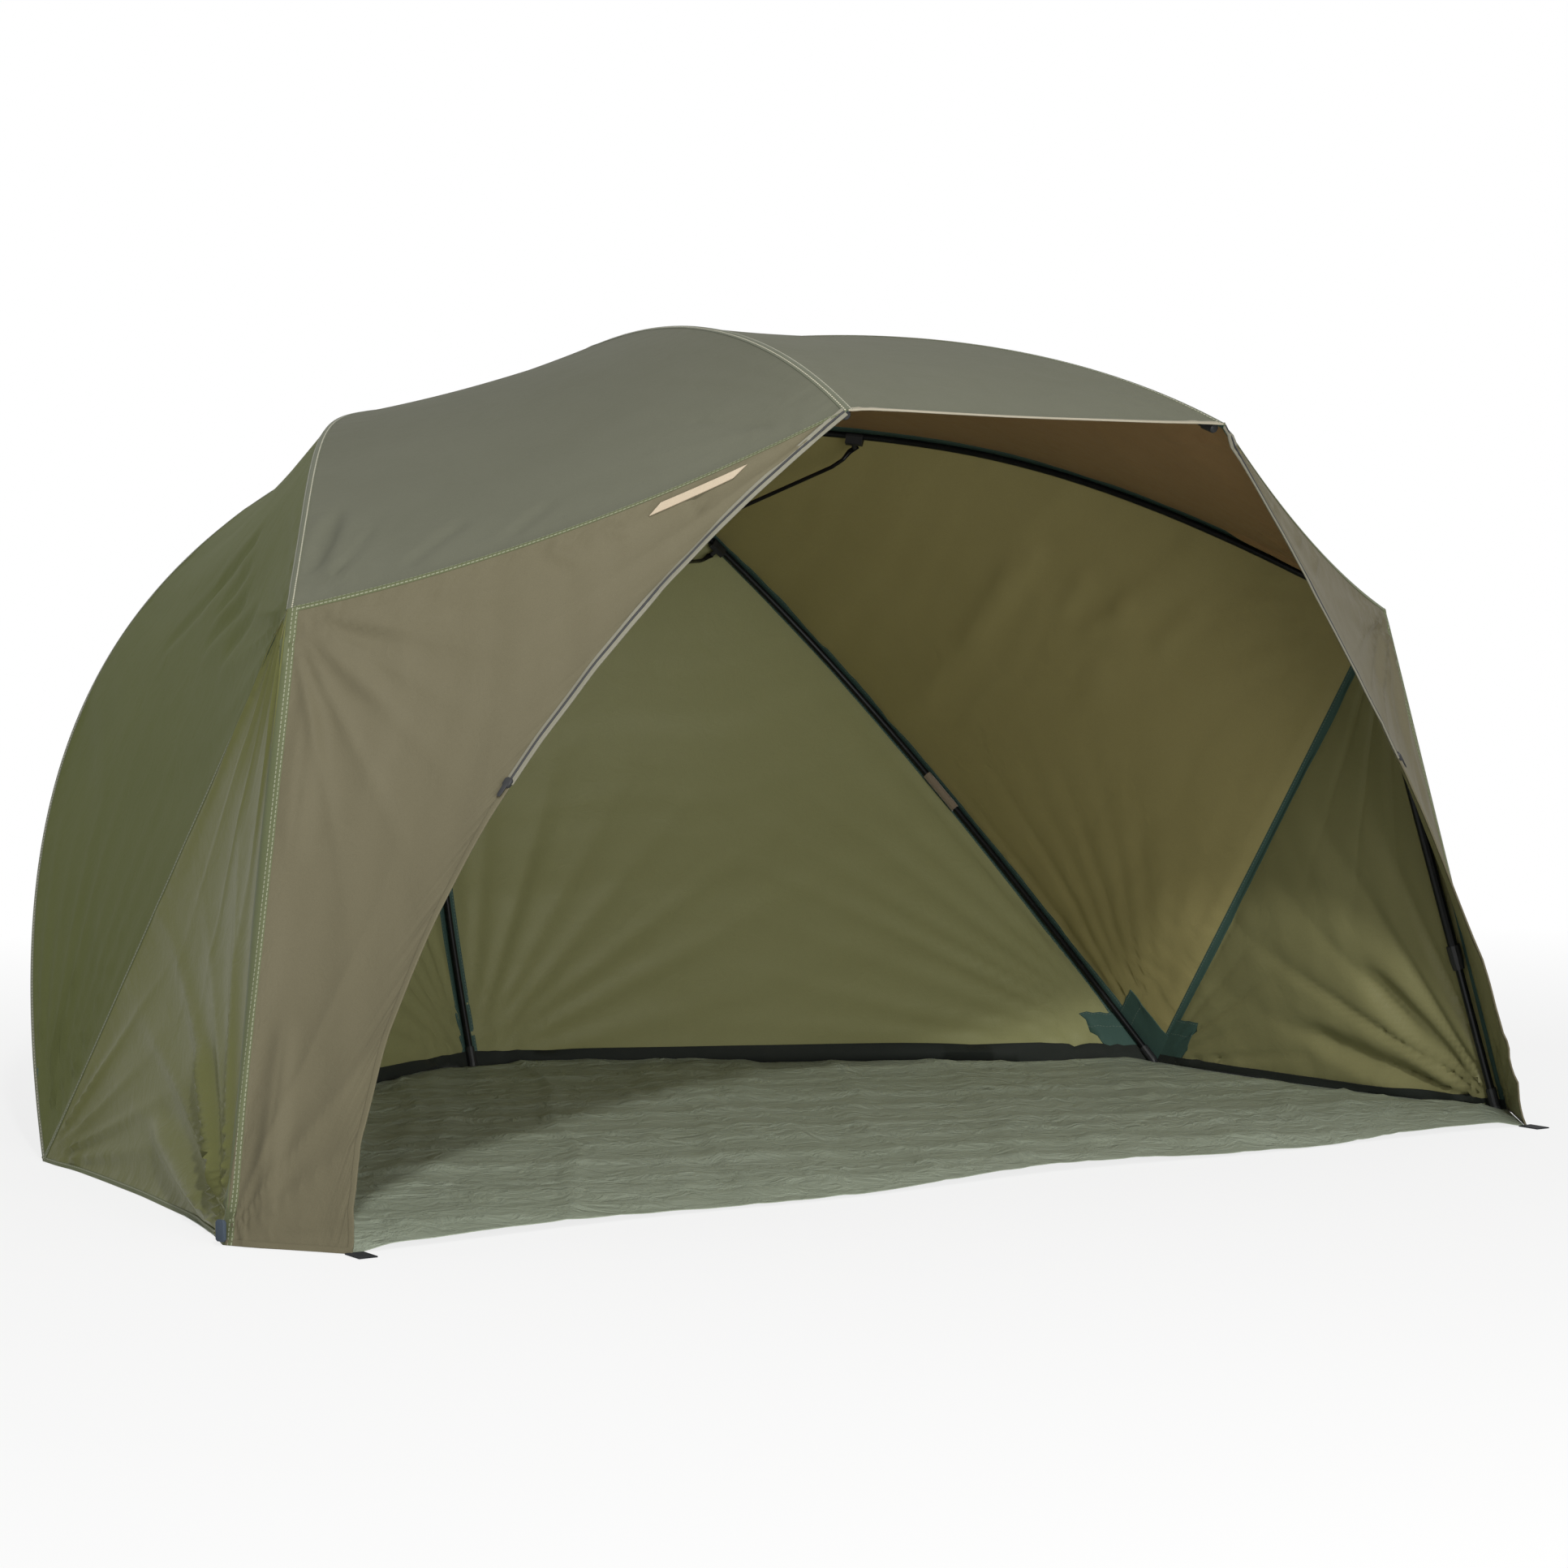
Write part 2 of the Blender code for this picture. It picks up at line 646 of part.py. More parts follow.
class Rib:
    """One rib: its pivot, the plane that it folds in, and its centre-line under the seam."""

    def __init__(self, name, panels):
        self.name = name
        tip = RIBS[name][3] - CROWN
        self.radial = (tip - FOLD_LINE * tip.dot(FOLD_LINE)).normalized()
        self.axis = self.radial.cross(FOLD_LINE)
        self.pivot = HUB + self.radial * PIVOT_RADIUS
        seam = seam_of(name)
        room = RIB_RADIUS + SLEEVE_WALL + TOUCH_GAP + FACET_ALLOWANCE
        self.stations = []
        self.inward = []
        for j in range(1, PANEL_STEPS + 1):
            beside = [panel.normal(j, 0 if panel.ribs[0] == name else PANEL_STEPS)
                      for panel in panels if name in panel.ribs]
            outward = (beside[0] + beside[1]).normalized()
            depth = COVER_THICKNESS + room / outward.dot(beside[0])
            self.stations.append(seam[j] - outward * depth)
            self.inward.append(-outward)
        self.end_direction = (self.stations[-1] - self.stations[-2]).normalized()
        self.stations[-1] -= self.end_direction * self.end_inset()
        tip = self.stations[-1] - self.pivot
        reach = math.atan2(tip.dot(self.radial), tip.dot(FOLD_LINE))
        self.fold = reach - math.radians(CLOSED_SPLAY_DEG)

    def end_inset(self):
        """How far the rib ends short of its tip on the cover."""
        if self.name.startswith("front"):
            return FRONT_RIB_INSET
        if self.name.startswith("side"):
            return ELBOW_END
        end = self.stations[-1]
        return (FLOOR + FOOT_SOLE - end.z) / -self.end_direction.z

    def lengths(self):
        """Distances of the stations along the centre-line."""
        result = [0.0]
        for start, end in zip(self.stations, self.stations[1:]):
            result.append(result[-1] + (end - start).length)
        return result

    def frame_at(self, distance):
        """Point, direction to the tip and inward direction at a distance along the centre-line."""
        lengths = self.lengths()
        k = 0
        while k < len(lengths) - 2 and lengths[k + 1] < distance:
            k += 1
        share = (distance - lengths[k]) / (lengths[k + 1] - lengths[k])
        point = self.stations[k].lerp(self.stations[k + 1], share)
        tangent = (self.stations[k + 1] - self.stations[k]).normalized()
        inward = self.inward[k].lerp(self.inward[k + 1], share)
        inward = (inward - tangent * inward.dot(tangent)).normalized()
        return point, tangent, inward

    def stretch(self, start, end):
        """Centre-line points between two distances, with the stations in between."""
        inner = [self.stations[k] for k, length in enumerate(self.lengths()) if start < length < end]
        return [self.frame_at(start)[0], *inner, self.frame_at(end)[0]]


class Stretcher:
    """The strut from the runner to a rib, placed so that it fits both open and closed."""

    def __init__(self, rib):
        self.rib = rib
        self.low = CROWN + FOLD_LINE * RUNNER_OPEN + rib.radial * PIVOT_RADIUS
        total = rib.lengths()[-1]
        steps = 40
        shares = [k / steps for k in range(4, steps)]
        values = [self.misfit(share * total) for share in shares]
        for k in range(len(shares) - 1):
            if values[k] * values[k + 1] <= 0.0:
                break
        near = shares[k] * total
        far = shares[k + 1] * total
        for _ in range(50):
            middle = (near + far) / 2.0
            if self.misfit(near) * self.misfit(middle) <= 0.0:
                far = middle
            else:
                near = middle
        self.distance = near
        self.eye = self.eye_at(near)
        self.closed = self.closed_eye(self.eye)
        offset = (self.eye - rib.pivot).dot(rib.axis)
        self.side = -1.0 if offset < -RIB_RADIUS else 1.0
        # The front pair passes outside its ribs, so that the two clear each other when they are folded
        if rib.name.startswith("front"):
            self.side = -self.side
        self.offset = offset
        self.direction = self.flat(self.eye - self.low).normalized()
        self.length = self.flat(self.eye - self.low).length
        closed_direction = self.flat(self.closed - self.low - FOLD_LINE * (RUNNER_CLOSED - RUNNER_OPEN))
        self.swing = self.direction.angle(closed_direction)

    def eye_at(self, distance):
        """Centre of the eye under the rib at a distance along it."""
        point, _, inward = self.rib.frame_at(distance)
        return point + inward * EYE_DROP

    def closed_eye(self, eye):
        """Where the eye goes when the rib is folded."""
        return moved_about(eye, self.rib.pivot, self.rib.axis, self.rib.fold)

    def flat(self, line):
        """The part of a line that lies in the plane of the fold."""
        return line - self.rib.axis * line.dot(self.rib.axis)

    def misfit(self, distance):
        """Open length less closed length for an eye at a distance along the rib."""
        eye = self.eye_at(distance)
        low_closed = self.low + FOLD_LINE * (RUNNER_CLOSED - RUNNER_OPEN)
        return self.flat(eye - self.low).length - self.flat(self.closed_eye(eye) - low_closed).length

    def at(self, distance, offset):
        """A point of the stretcher, from its distance from the runner's pin and its sidestep."""
        return self.low + self.direction * distance + self.rib.axis * offset


class Leg:
    """A side leg, from the elbow under the side rib to its foot on the groundsheet."""

    def __init__(self, side, rib):
        self.side = side
        self.rib = rib
        self.along = rib.end_direction
        self.base = rib.frame_at(rib.lengths()[-1] - ELBOW_LENGTH / 2.0)[0]
        foot = on_side(FOOT, side)
        middle = Vector((0.0, BACK_CORNER_SETBACK / 2.0, 0.0))
        self.ground = foot + (middle - foot).normalized() * LEG_OFFSET + UP * FLOOR
        self.pivot = self.base
        for _ in range(8):
            line = (self.ground - self.pivot).normalized()
            self.down = (line - self.along * line.dot(self.along)).normalized()
            self.pivot = self.base + self.down * LEG_PIVOT_DROP
        self.line = (self.ground - self.pivot).normalized()
        self.length = (self.ground - self.pivot).length
        self.axis = self.along.cross(self.line).normalized()
        self.fold = self.line.angle(-self.along) - math.radians(LEG_FOLD_STOP_DEG)
        self.inner_start = self.length - LEG_INNER_LENGTH
        self.outer_end = self.inner_start + LEG_INNER_INSERT


# Solids of the frame


def tongue(pivot, direction, reach=TONGUE_REACH):
    """Centres and outlines of the flat tongue that turns on a pin."""
    centres = [pivot - direction * TONGUE_BACK, pivot + direction * reach]
    outline = round_outline(TONGUE_WIDTH / 2.0, TONGUE_HEIGHT / 2.0)
    return centres, [outline, outline]


def pin_skin(pivot, axis, half_length, radius):
    """Skin of a pin, centred on its pivot."""
    return turned(pivot - axis * half_length, axis, [(0.0, radius), (2.0 * half_length, radius)])


def slotted_block(name, centre, open_way, ribs, bores):
    """A round block with radial slots that are open outward and towards open_way."""
    profile = [(-HUB_HEIGHT / 2.0, HUB_RADIUS), (HUB_HEIGHT / 2.0, HUB_RADIUS)]
    block = add_object(name, *turned(centre, FOLD_LINE, profile, HUB_SIDES), BLACK_PLASTIC)
    half = SLOT_WIDTH / 2.0
    outline = [(-half, HUB_ROOF - HUB_HEIGHT / 2.0), (half, HUB_ROOF - HUB_HEIGHT / 2.0),
               (half, HUB_HEIGHT / 2.0 + OVERRUN), (-half, HUB_HEIGHT / 2.0 + OVERRUN)]
    slots = []
    for rib in ribs:
        start = centre + rib.radial * HUB_CORE_RADIUS
        end = centre + rib.radial * (HUB_RADIUS + OVERRUN)
        slots.append(swept([start, end], open_way, outline))
    combine(block, cutter_object(f"{name}_slots", slots), "DIFFERENCE")
    combine(block, bores, "DIFFERENCE")
    return block


def ring_skin(pivots, ribs, radius):
    """Skin of the closed wire ring that runs straight through each slot of a block."""
    half = SLOT_WIDTH / 2.0 + RING_STRAIGHT
    turn = 1.0 if (pivots[1] - pivots[0]).dot(ribs[0].axis) > 0.0 else -1.0
    points = []
    for pivot, rib in zip(pivots, ribs):
        points += [pivot - rib.axis * (half * turn), pivot + rib.axis * (half * turn)]
    rings = []
    for k, point in enumerate(points):
        before = (point - points[k - 1]).normalized()
        after = (points[(k + 1) % len(points)] - point).normalized()
        outward = (before + after).normalized().cross(FOLD_LINE)
        rings.append(placed(round_outline(radius, radius), point, outward, FOLD_LINE))
    return lofted(rings, loop=True)


def ring_and_tunnel(name, pivots, ribs):
    """The wire ring of a block, and the hidden tunnel for it."""
    add_object(name, *ring_skin(pivots, ribs, PIN_RADIUS), BARE_STEEL)
    tunnel_radius = (PIN_RADIUS + PIN_GAP) / math.cos(math.pi / TUBE_SIDES)
    return cutter_object(f"{name}_tunnel", [ring_skin(pivots, ribs, tunnel_radius)])


def make_rib(rib, bores):
    """A rib tube with the tongue that turns in the hub."""
    centres, outlines = tongue(rib.pivot, rib.radial)
    neck = rib.pivot + rib.radial * (TONGUE_REACH + NECK_LENGTH)
    tube = round_outline(RIB_RADIUS, RIB_RADIUS)
    round_part = [neck, *rib.stations]
    skin = swept([*centres, *round_part], FOLD_LINE, [*outlines] + [tube] * len(round_part))
    piece = add_object(f"rib_{rib.name}", *skin, BLACK_TUBE)
    combine(piece, bores, "DIFFERENCE")


def saddle_arc():
    """Half circle of points round the underside of a rib, from right to left."""
    steps = SLEEVE_SIDES // 2
    return [(SLEEVE_BORE * math.cos(math.pi * k / steps), SLEEVE_BORE * math.sin(math.pi * k / steps))
            for k in range(steps + 1)]


def make_saddle(stretcher):
    """The saddle under a rib, with the boss and stud for the stretcher's eye."""
    rib = stretcher.rib
    outer = SLEEVE_BORE + SADDLE_WALL
    foot = EYE_DROP + BOSS_RADIUS
    outline = [(-outer, -SADDLE_LIP), (-outer, SLEEVE_BORE / 2.0), (-SADDLE_FOOT_HALF_WIDTH, foot),
               (SADDLE_FOOT_HALF_WIDTH, foot), (outer, SLEEVE_BORE / 2.0), (outer, -SADDLE_LIP),
               (SLEEVE_BORE, -SADDLE_LIP), *saddle_arc(), (-SLEEVE_BORE, -SADDLE_LIP)]
    middle = stretcher.distance
    line = rib.stretch(middle - SADDLE_LENGTH / 2.0, middle + SADDLE_LENGTH / 2.0)
    inward = rib.frame_at(middle)[2]
    piece = add_object(f"saddle_{rib.name}", *swept(line, inward, outline), BLACK_PLASTIC)
    boss_end = BOSS_REACH
    stud_end = boss_end + STUD_LENGTH
    boss_start = -SADDLE_FOOT_HALF_WIDTH / 2.0
    profile = [(boss_start, BOSS_RADIUS), (boss_end, BOSS_RADIUS),
               (boss_end, STUD_RADIUS), (stud_end, STUD_RADIUS)]
    boss = turned(stretcher.eye, rib.axis * stretcher.side, profile)
    combine(piece, cutter_object(f"boss_{rib.name}", [boss]), "UNION")


def make_stretcher(stretcher, bores, eyes):
    """A stretcher: tongue at the runner, straight rod, and a flat eye beside the saddle."""
    rib = stretcher.rib
    centres, outlines = tongue(stretcher.low, stretcher.direction)
    flat = stretcher.offset + stretcher.side * (BOSS_REACH + EYE_GAP + EYE_THICKNESS / 2.0)
    far = flat + stretcher.side * JOG_SIDESTEP
    end = stretcher.length
    bends = [(TONGUE_REACH + NECK_LENGTH, 0.0), (end - STRAIGHT_END, far), (end - JOG_START, far),
             (end - JOG_END, flat), (end + EYE_END, flat)]
    centres += [stretcher.at(distance, offset) for distance, offset in bends]
    rod = round_outline(STRETCHER_RADIUS, STRETCHER_RADIUS)
    eye = round_outline(EYE_THICKNESS / 2.0, EYE_HEIGHT / 2.0)
    upright = stretcher.direction.cross(rib.axis)
    skin = swept(centres, upright, outlines + [rod] * 3 + [eye] * 2)
    piece = add_object(f"stretcher_{rib.name}", *skin, BLACK_TUBE)
    combine(piece, bores, "DIFFERENCE")
    combine(piece, eyes, "DIFFERENCE")


def make_cap():
    """The domed cap over the crown hole, with a stem down to the hub."""
    lean = math.radians(CAP_LEAN_DEG)
    normal = Vector((0.0, math.sin(lean), math.cos(lean)))
    side = Vector((1.0, 0.0, 0.0))
    edge_top = CAP_LIFT + CAP_EDGE
    profile = [(edge_top + CAP_DOME, CAP_RADIUS * CAP_TOP_SHARE),
               (edge_top + CAP_DOME * CAP_TOP_SHARE, CAP_RADIUS * CAP_SHOULDER_SHARE),
               (edge_top, CAP_RADIUS), (CAP_LIFT, CAP_RADIUS), (CAP_LIFT, CAP_STEM_RADIUS)]
    rings = [placed(round_outline(radius, radius, CAP_SIDES), CROWN + normal * height, side, normal.cross(side))
             for height, radius in profile]
    seat = HUB - FOLD_LINE * (HUB_HEIGHT / 2.0 + TOUCH_GAP)
    stem = round_outline(CAP_STEM_RADIUS, CAP_STEM_RADIUS, CAP_SIDES)
    rings.append(placed(stem, seat, side, side.cross(FOLD_LINE)))
    add_object("crown_cap", *lofted(rings), BLACK_PLASTIC)


def make_elbow(leg):
    """The fork under a side rib's end that the leg turns in, and its pin."""
    inner = SLOT_WIDTH / 2.0
    outer = SLEEVE_BORE + SADDLE_WALL
    cheek = inner + CHEEK_WALL
    bridge = SLEEVE_BORE + SADDLE_WALL
    foot = LEG_PIVOT_DROP + CHEEK_ROUND
    outline = [(-outer, -SADDLE_LIP), (-outer, bridge), (-cheek, foot), (-inner, foot), (-inner, bridge),
               (inner, bridge), (inner, foot), (cheek, foot), (outer, bridge), (outer, -SADDLE_LIP),
               (SLEEVE_BORE, -SADDLE_LIP), *saddle_arc(), (-SLEEVE_BORE, -SADDLE_LIP)]
    half = ELBOW_LENGTH / 2.0
    line = [leg.base - leg.along * half, leg.base + leg.along * half]
    piece = add_object(f"elbow_{leg.side}", *swept(line, leg.down, outline), BLACK_PLASTIC)
    add_object(f"elbow_pin_{leg.side}", *pin_skin(leg.pivot, leg.axis, cheek, PIN_RADIUS), BARE_STEEL)
    bore_radius = (PIN_RADIUS + PIN_GAP) / math.cos(math.pi / SLEEVE_SIDES)
    bore_skin = pin_skin(leg.pivot, leg.axis, cheek + OVERRUN, bore_radius)
    bore = cutter_object(f"elbow_bore_{leg.side}", [bore_skin])
    combine(piece, bore, "DIFFERENCE")
    return bore


def make_leg(leg, bore):
    """Outer and inner tube of a leg, the clamp between them and the foot."""
    bore_radius = LEG_RADIUS - LEG_WALL
    start = LEG_TONGUE_REACH + NECK_LENGTH
    upright = leg.line.cross(leg.axis)
    across = leg.line.cross(upright)
    flat = round_outline(TONGUE_WIDTH / 2.0, TONGUE_HEIGHT / 2.0, SLEEVE_SIDES)
    wide = round_outline(LEG_RADIUS, LEG_RADIUS, SLEEVE_SIDES)
    bored = round_outline(bore_radius, bore_radius, SLEEVE_SIDES)
    rings = [(-TONGUE_BACK, flat), (LEG_TONGUE_REACH, flat), (start, wide), (leg.outer_end, wide),
             (leg.outer_end, bored), (start + NECK_LENGTH, bored)]
    loops = [placed(outline, leg.pivot + leg.line * distance, across, upright) for distance, outline in rings]
    outer = add_object(f"leg_outer_{leg.side}", *lofted(loops), BLACK_TUBE)
    combine(outer, bore, "DIFFERENCE")
    sole = leg.length - FOOT_SOLE
    profile = [(leg.inner_start, LEG_INNER_RADIUS), (sole - TOUCH_GAP, LEG_INNER_RADIUS)]
    add_object(f"leg_inner_{leg.side}", *turned(leg.pivot, leg.line, profile), BLACK_TUBE)
    grip = (LEG_RADIUS + TOUCH_GAP) / math.cos(math.pi / SLEEVE_SIDES)
    nose = (LEG_INNER_RADIUS + TOUCH_GAP) / math.cos(math.pi / SLEEVE_SIDES)
    clamp_end = leg.outer_end + TOUCH_GAP
    profile = [(leg.outer_end - CLAMP_GRIP, grip), (leg.outer_end - CLAMP_GRIP, grip + CLAMP_WALL),
               (clamp_end, grip + CLAMP_WALL), (clamp_end + CLAMP_NOSE, nose + CLAMP_WALL),
               (clamp_end + CLAMP_NOSE, nose), (clamp_end, nose), (clamp_end, grip)]
    add_object(f"leg_clamp_{leg.side}", *turned(leg.pivot, leg.line, profile, loop=True), BLACK_PLASTIC)
    add_foot(f"leg_foot_{leg.side}", leg.pivot, leg.line, leg.length, nose, LEG_FOOT_RADIUS)


def add_foot(name, origin, line, length, bore_radius, sole_radius):
    """A cup on the end of a tube, with a flat sole on the groundsheet."""
    across = line.orthogonal().normalized()
    upright = line.cross(across)
    outer = round_outline(bore_radius + SLEEVE_WALL, bore_radius + SLEEVE_WALL, SLEEVE_SIDES)
    bored = round_outline(bore_radius, bore_radius, SLEEVE_SIDES)
    top = origin + line * (length - FOOT_LENGTH)
    well = origin + line * (length - FOOT_SOLE)
    low = origin + line * length
    sole = placed(round_outline(sole_radius, sole_radius, SLEEVE_SIDES), low, across, upright)
    for point in sole:
        point.z = FLOOR
    rings = [sole, placed(outer, well, across, upright), placed(outer, top, across, upright),
             placed(bored, top, across, upright), placed(bored, well, across, upright)]
    for point in rings[1]:
        point.z = max(point.z, FLOOR + TOUCH_GAP)
    add_object(name, *lofted(rings), BLACK_PLASTIC)


def make_tips(ribs):
    """Caps on the front ribs and feet on the back ribs."""
    for name in ("front_left", "front_right"):
        rib = ribs[name]
        profile = [(TOUCH_GAP + TIP_CAP_NOSE, SLEEVE_BORE), (TOUCH_GAP, SLEEVE_RADIUS),
                   (-TIP_CAP_GRIP, SLEEVE_RADIUS), (-TIP_CAP_GRIP, SLEEVE_BORE), (TOUCH_GAP, SLEEVE_BORE)]
        add_object(f"tip_cap_{name}", *turned(rib.stations[-1], rib.end_direction, profile), BLACK_PLASTIC)
    for name in ("back_corner_left", "back_middle", "back_corner_right"):
        rib = ribs[name]
        length = (FLOOR - rib.stations[-1].z) / rib.end_direction.z
        add_foot(f"foot_{name}", rib.stations[-1], rib.end_direction, length, SLEEVE_BORE, SLEEVE_RADIUS)


def make_groundsheet():
    """The floor, with a tab at each front corner for a peg."""
    corners = [on_side(PEG_CORNER, "left"), on_side(FOOT, "left"), on_side(BACK_CORNER, "left"), BACK_MIDDLE,
               BACK_CORNER, FOOT, PEG_CORNER]
    inner = []
    for k, corner in enumerate(corners):
        before = (corner - corners[k - 1]).normalized()
        after = (corners[(k + 1) % len(corners)] - corner).normalized()
        mitre = (before.cross(UP) + after.cross(UP)).normalized()
        inner.append(corner + mitre * (GROUNDSHEET_INSET / mitre.dot(before.cross(UP))))
    outline = [(corner.x, corner.y) for corner in inner]
    side = Vector((1.0, 0.0, 0.0))
    back = Vector((0.0, 1.0, 0.0))
    rings = [placed(outline, UP * height, side, back) for height in (0.0, GROUNDSHEET_THICKNESS)]
    add_object("groundsheet", *lofted(rings), FLOOR_CLOTH, smooth=False)
    for place, corner in (("left", inner[0]), ("right", inner[-1])):
        half = PEG_TAB_WIDTH / 2.0
        front = corner.y - GROUNDSHEET_INSET
        tab = [(corner.x - half, front), (corner.x + half, front), (corner.x + half, front - PEG_TAB_LENGTH),
               (corner.x - half, front - PEG_TAB_LENGTH)]
        skin = lofted([placed(tab, UP * height, side, back) for height in (0.0, GROUNDSHEET_THICKNESS)])
        add_object(f"peg_tab_{place}", *skin, BLUE_WEBBING, smooth=False)


def panel_point(panel, u, v):
    """A point of a panel between its grid points."""
    across = min(int(u * PANEL_STEPS), PANEL_STEPS - 1)
    down = min(int(v * PANEL_STEPS), PANEL_STEPS - 1)
    x = u * PANEL_STEPS - across
    y = v * PANEL_STEPS - down
    upper = panel.rows[down][across].lerp(panel.rows[down][across + 1], x)
    lower = panel.rows[down + 1][across].lerp(panel.rows[down + 1][across + 1], x)
    return upper.lerp(lower, y)


def make_strap(panel):
    """The storage strap that hangs folded under the left roof seam."""
    top = panel.rows[0]
    seam = sum((end - start).length for start, end in zip(top, top[1:]))
    start = 1.0 - STRAP_FROM_FRONT_SHARE - STRAP_LENGTH / seam
    drop = (panel.rows[-1][PANEL_STEPS * 3 // 4] - top[PANEL_STEPS * 3 // 4]).length
    near = panel.normal(0, PANEL_STEPS * 3 // 4)
    rings = []
    for k in range(STRAP_STEPS + 1):
        u = start + STRAP_LENGTH / seam * k / STRAP_STEPS
        upper = panel_point(panel, u, STRAP_DROP / drop)
        lower = panel_point(panel, u, (STRAP_DROP + STRAP_WIDTH) / drop)
        inner = near * (TOUCH_GAP * 2.0)
        outer = inner + near * STRAP_THICKNESS
        rings.append([upper + inner, lower + inner, lower + outer, upper + outer])
    add_object("storage_strap", *lofted(rings), BEIGE_TAPE, smooth=False)


def make_rib_tab(rib):
    """The hook and loop tab round a back corner rib, in the middle of one of its straight stretches."""
    lengths = rib.lengths()
    station = max(k for k, length in enumerate(lengths) if length < lengths[-1] * TAB_PLACE_SHARE)
    start = (lengths[station] + lengths[station + 1] - TAB_LENGTH) / 2.0
    point, tangent, _ = rib.frame_at(start)
    profile = [(0.0, SLEEVE_RADIUS), (TAB_LENGTH, SLEEVE_RADIUS), (TAB_LENGTH, SLEEVE_BORE), (0.0, SLEEVE_BORE)]
    add_object(f"rib_tab_{rib.name}", *turned(point, tangent, profile, loop=True), BEIGE_TAPE, smooth=False)


def sheet_look(name):
    """Colour of a cover by its name."""
    if name.startswith("roof"):
        return ROOF_CLOTH
    if name.startswith("front_wing"):
        return WING_CLOTH
    return WALL_CLOTH


def clear_scene():
    """Removes what the file holds before the part is made."""
    for item in list(bpy.data.objects):
        bpy.data.objects.remove(item, do_unlink=True)


def build():
    """Makes the whole umbrella."""
    clear_scene()
    panels = make_panels()
    by_name = {panel.name: panel for panel in panels}
    normals = shared_normals(panels)
    for panel in panels:
        add_sheet(panel, normals, sheet_look(panel.name))
    make_groundsheet()
    ribs = {name: Rib(name, panels) for name in RIBS}
    stretchers = {name: Stretcher(rib) for name, rib in ribs.items()}
    order = list(ribs.values())
    hub_bores = ring_and_tunnel("hub_ring", [rib.pivot for rib in order], order)
    slotted_block("crown_hub", HUB, FOLD_LINE, order, hub_bores)
    make_cap()
    runner_bores = ring_and_tunnel("runner_ring", [stretchers[name].low for name in ribs], order)
    slotted_block("runner", CROWN + FOLD_LINE * RUNNER_OPEN, -FOLD_LINE, order, runner_bores)
    eye_radius = (STUD_RADIUS + PIN_GAP) / math.cos(math.pi / SLEEVE_SIDES)
    eyes = [pin_skin(item.eye, item.rib.axis, BOSS_REACH + STUD_LENGTH + OVERRUN, eye_radius)
            for item in stretchers.values()]
    eye_cutter = cutter_object("stretcher_eyes", eyes)
    for name, rib in ribs.items():
        make_rib(rib, hub_bores)
        make_saddle(stretchers[name])
        make_stretcher(stretchers[name], runner_bores, eye_cutter)
    make_tips(ribs)
    for side in ("left", "right"):
        leg = Leg(side, ribs[f"side_{side}"])
        make_leg(leg, make_elbow(leg))
        make_rib_tab(ribs[f"back_corner_{side}"])
    make_strap(by_name["front_wing_left"])
    return ribs, stretchers


build()
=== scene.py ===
"""Looks of the fishing umbrella shelter: covers, seams, frame, floor, trimmings, light and camera.

Lengths are in metres, with x to the right, y to the back and z up, as in the solid model.
"""
import logging
import math
from dataclasses import dataclass, field
from enum import Enum
from typing import Iterable, Sequence

import bmesh
import bpy
import numpy as np
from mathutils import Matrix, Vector


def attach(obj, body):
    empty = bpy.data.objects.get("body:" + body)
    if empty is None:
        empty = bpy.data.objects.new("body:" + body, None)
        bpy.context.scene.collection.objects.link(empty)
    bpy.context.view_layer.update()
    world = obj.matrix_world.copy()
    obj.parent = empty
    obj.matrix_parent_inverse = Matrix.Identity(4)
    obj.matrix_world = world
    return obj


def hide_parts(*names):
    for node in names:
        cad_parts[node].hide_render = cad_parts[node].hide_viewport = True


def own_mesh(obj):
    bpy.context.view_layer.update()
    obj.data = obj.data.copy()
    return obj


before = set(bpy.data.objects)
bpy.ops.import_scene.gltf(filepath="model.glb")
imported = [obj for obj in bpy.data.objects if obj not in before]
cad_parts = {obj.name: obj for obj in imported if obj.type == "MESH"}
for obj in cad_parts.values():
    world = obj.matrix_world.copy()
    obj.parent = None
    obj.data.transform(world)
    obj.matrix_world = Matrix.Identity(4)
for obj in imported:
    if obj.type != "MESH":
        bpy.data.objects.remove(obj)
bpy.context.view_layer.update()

LOG = logging.getLogger("shelter")
MM = 0.001
MESH_STEPS = 96
Colour = tuple[float, float, float]
Place = tuple[float, float, float]
TINY = 1e-12  # least length that a direction is divided by
POINT_LENGTH = 1e-6  # a row of a grid that is shorter counts as a point
WAVE_PACES = (1.0, 1.93, 3.17, 5.41)  # the waves that wander adds up
WAVE_SIZE = 1.9  # about the height of their sum
INSIDE_PLACE: Place = (0.0, 0.845, 0.0)  # on the ground, in the middle of the shelter
NARROW_SHARE = 0.48  # most of a narrow row that an inset may take up
PATCH_PARTS = 48  # parts of a cover's width and length that its patches are placed by
EDGE_ANGLE_DEG = 40.0  # edges sharper than this stay sharp, here on hard pieces
BAND_ANGLE_DEG = 60.0  # the same on bands, tapes and bindings
SHEET_ANGLE_DEG = 70.0  # the same on panels and patches


class Side(Enum):
    """The two sides of the shelter, as seen from the front."""

    LEFT = "left"
    RIGHT = "right"


class Edge(Enum):
    """The four edges of a cover."""

    LEFT = "left"
    RIGHT = "right"
    TOP = "top"
    BOTTOM = "bottom"


class Slot(Enum):
    """Material slot names that go with each new piece; nothing reads them."""

    ROOF = "roof_fabric"
    WALL = "wall_fabric"
    WING = "wing_fabric"
    FLOOR = "floor_fabric"
    TAPE = "tape"
    WEBBING = "webbing"
    TUBE = "black_tube"
    PLASTIC = "black_plastic"


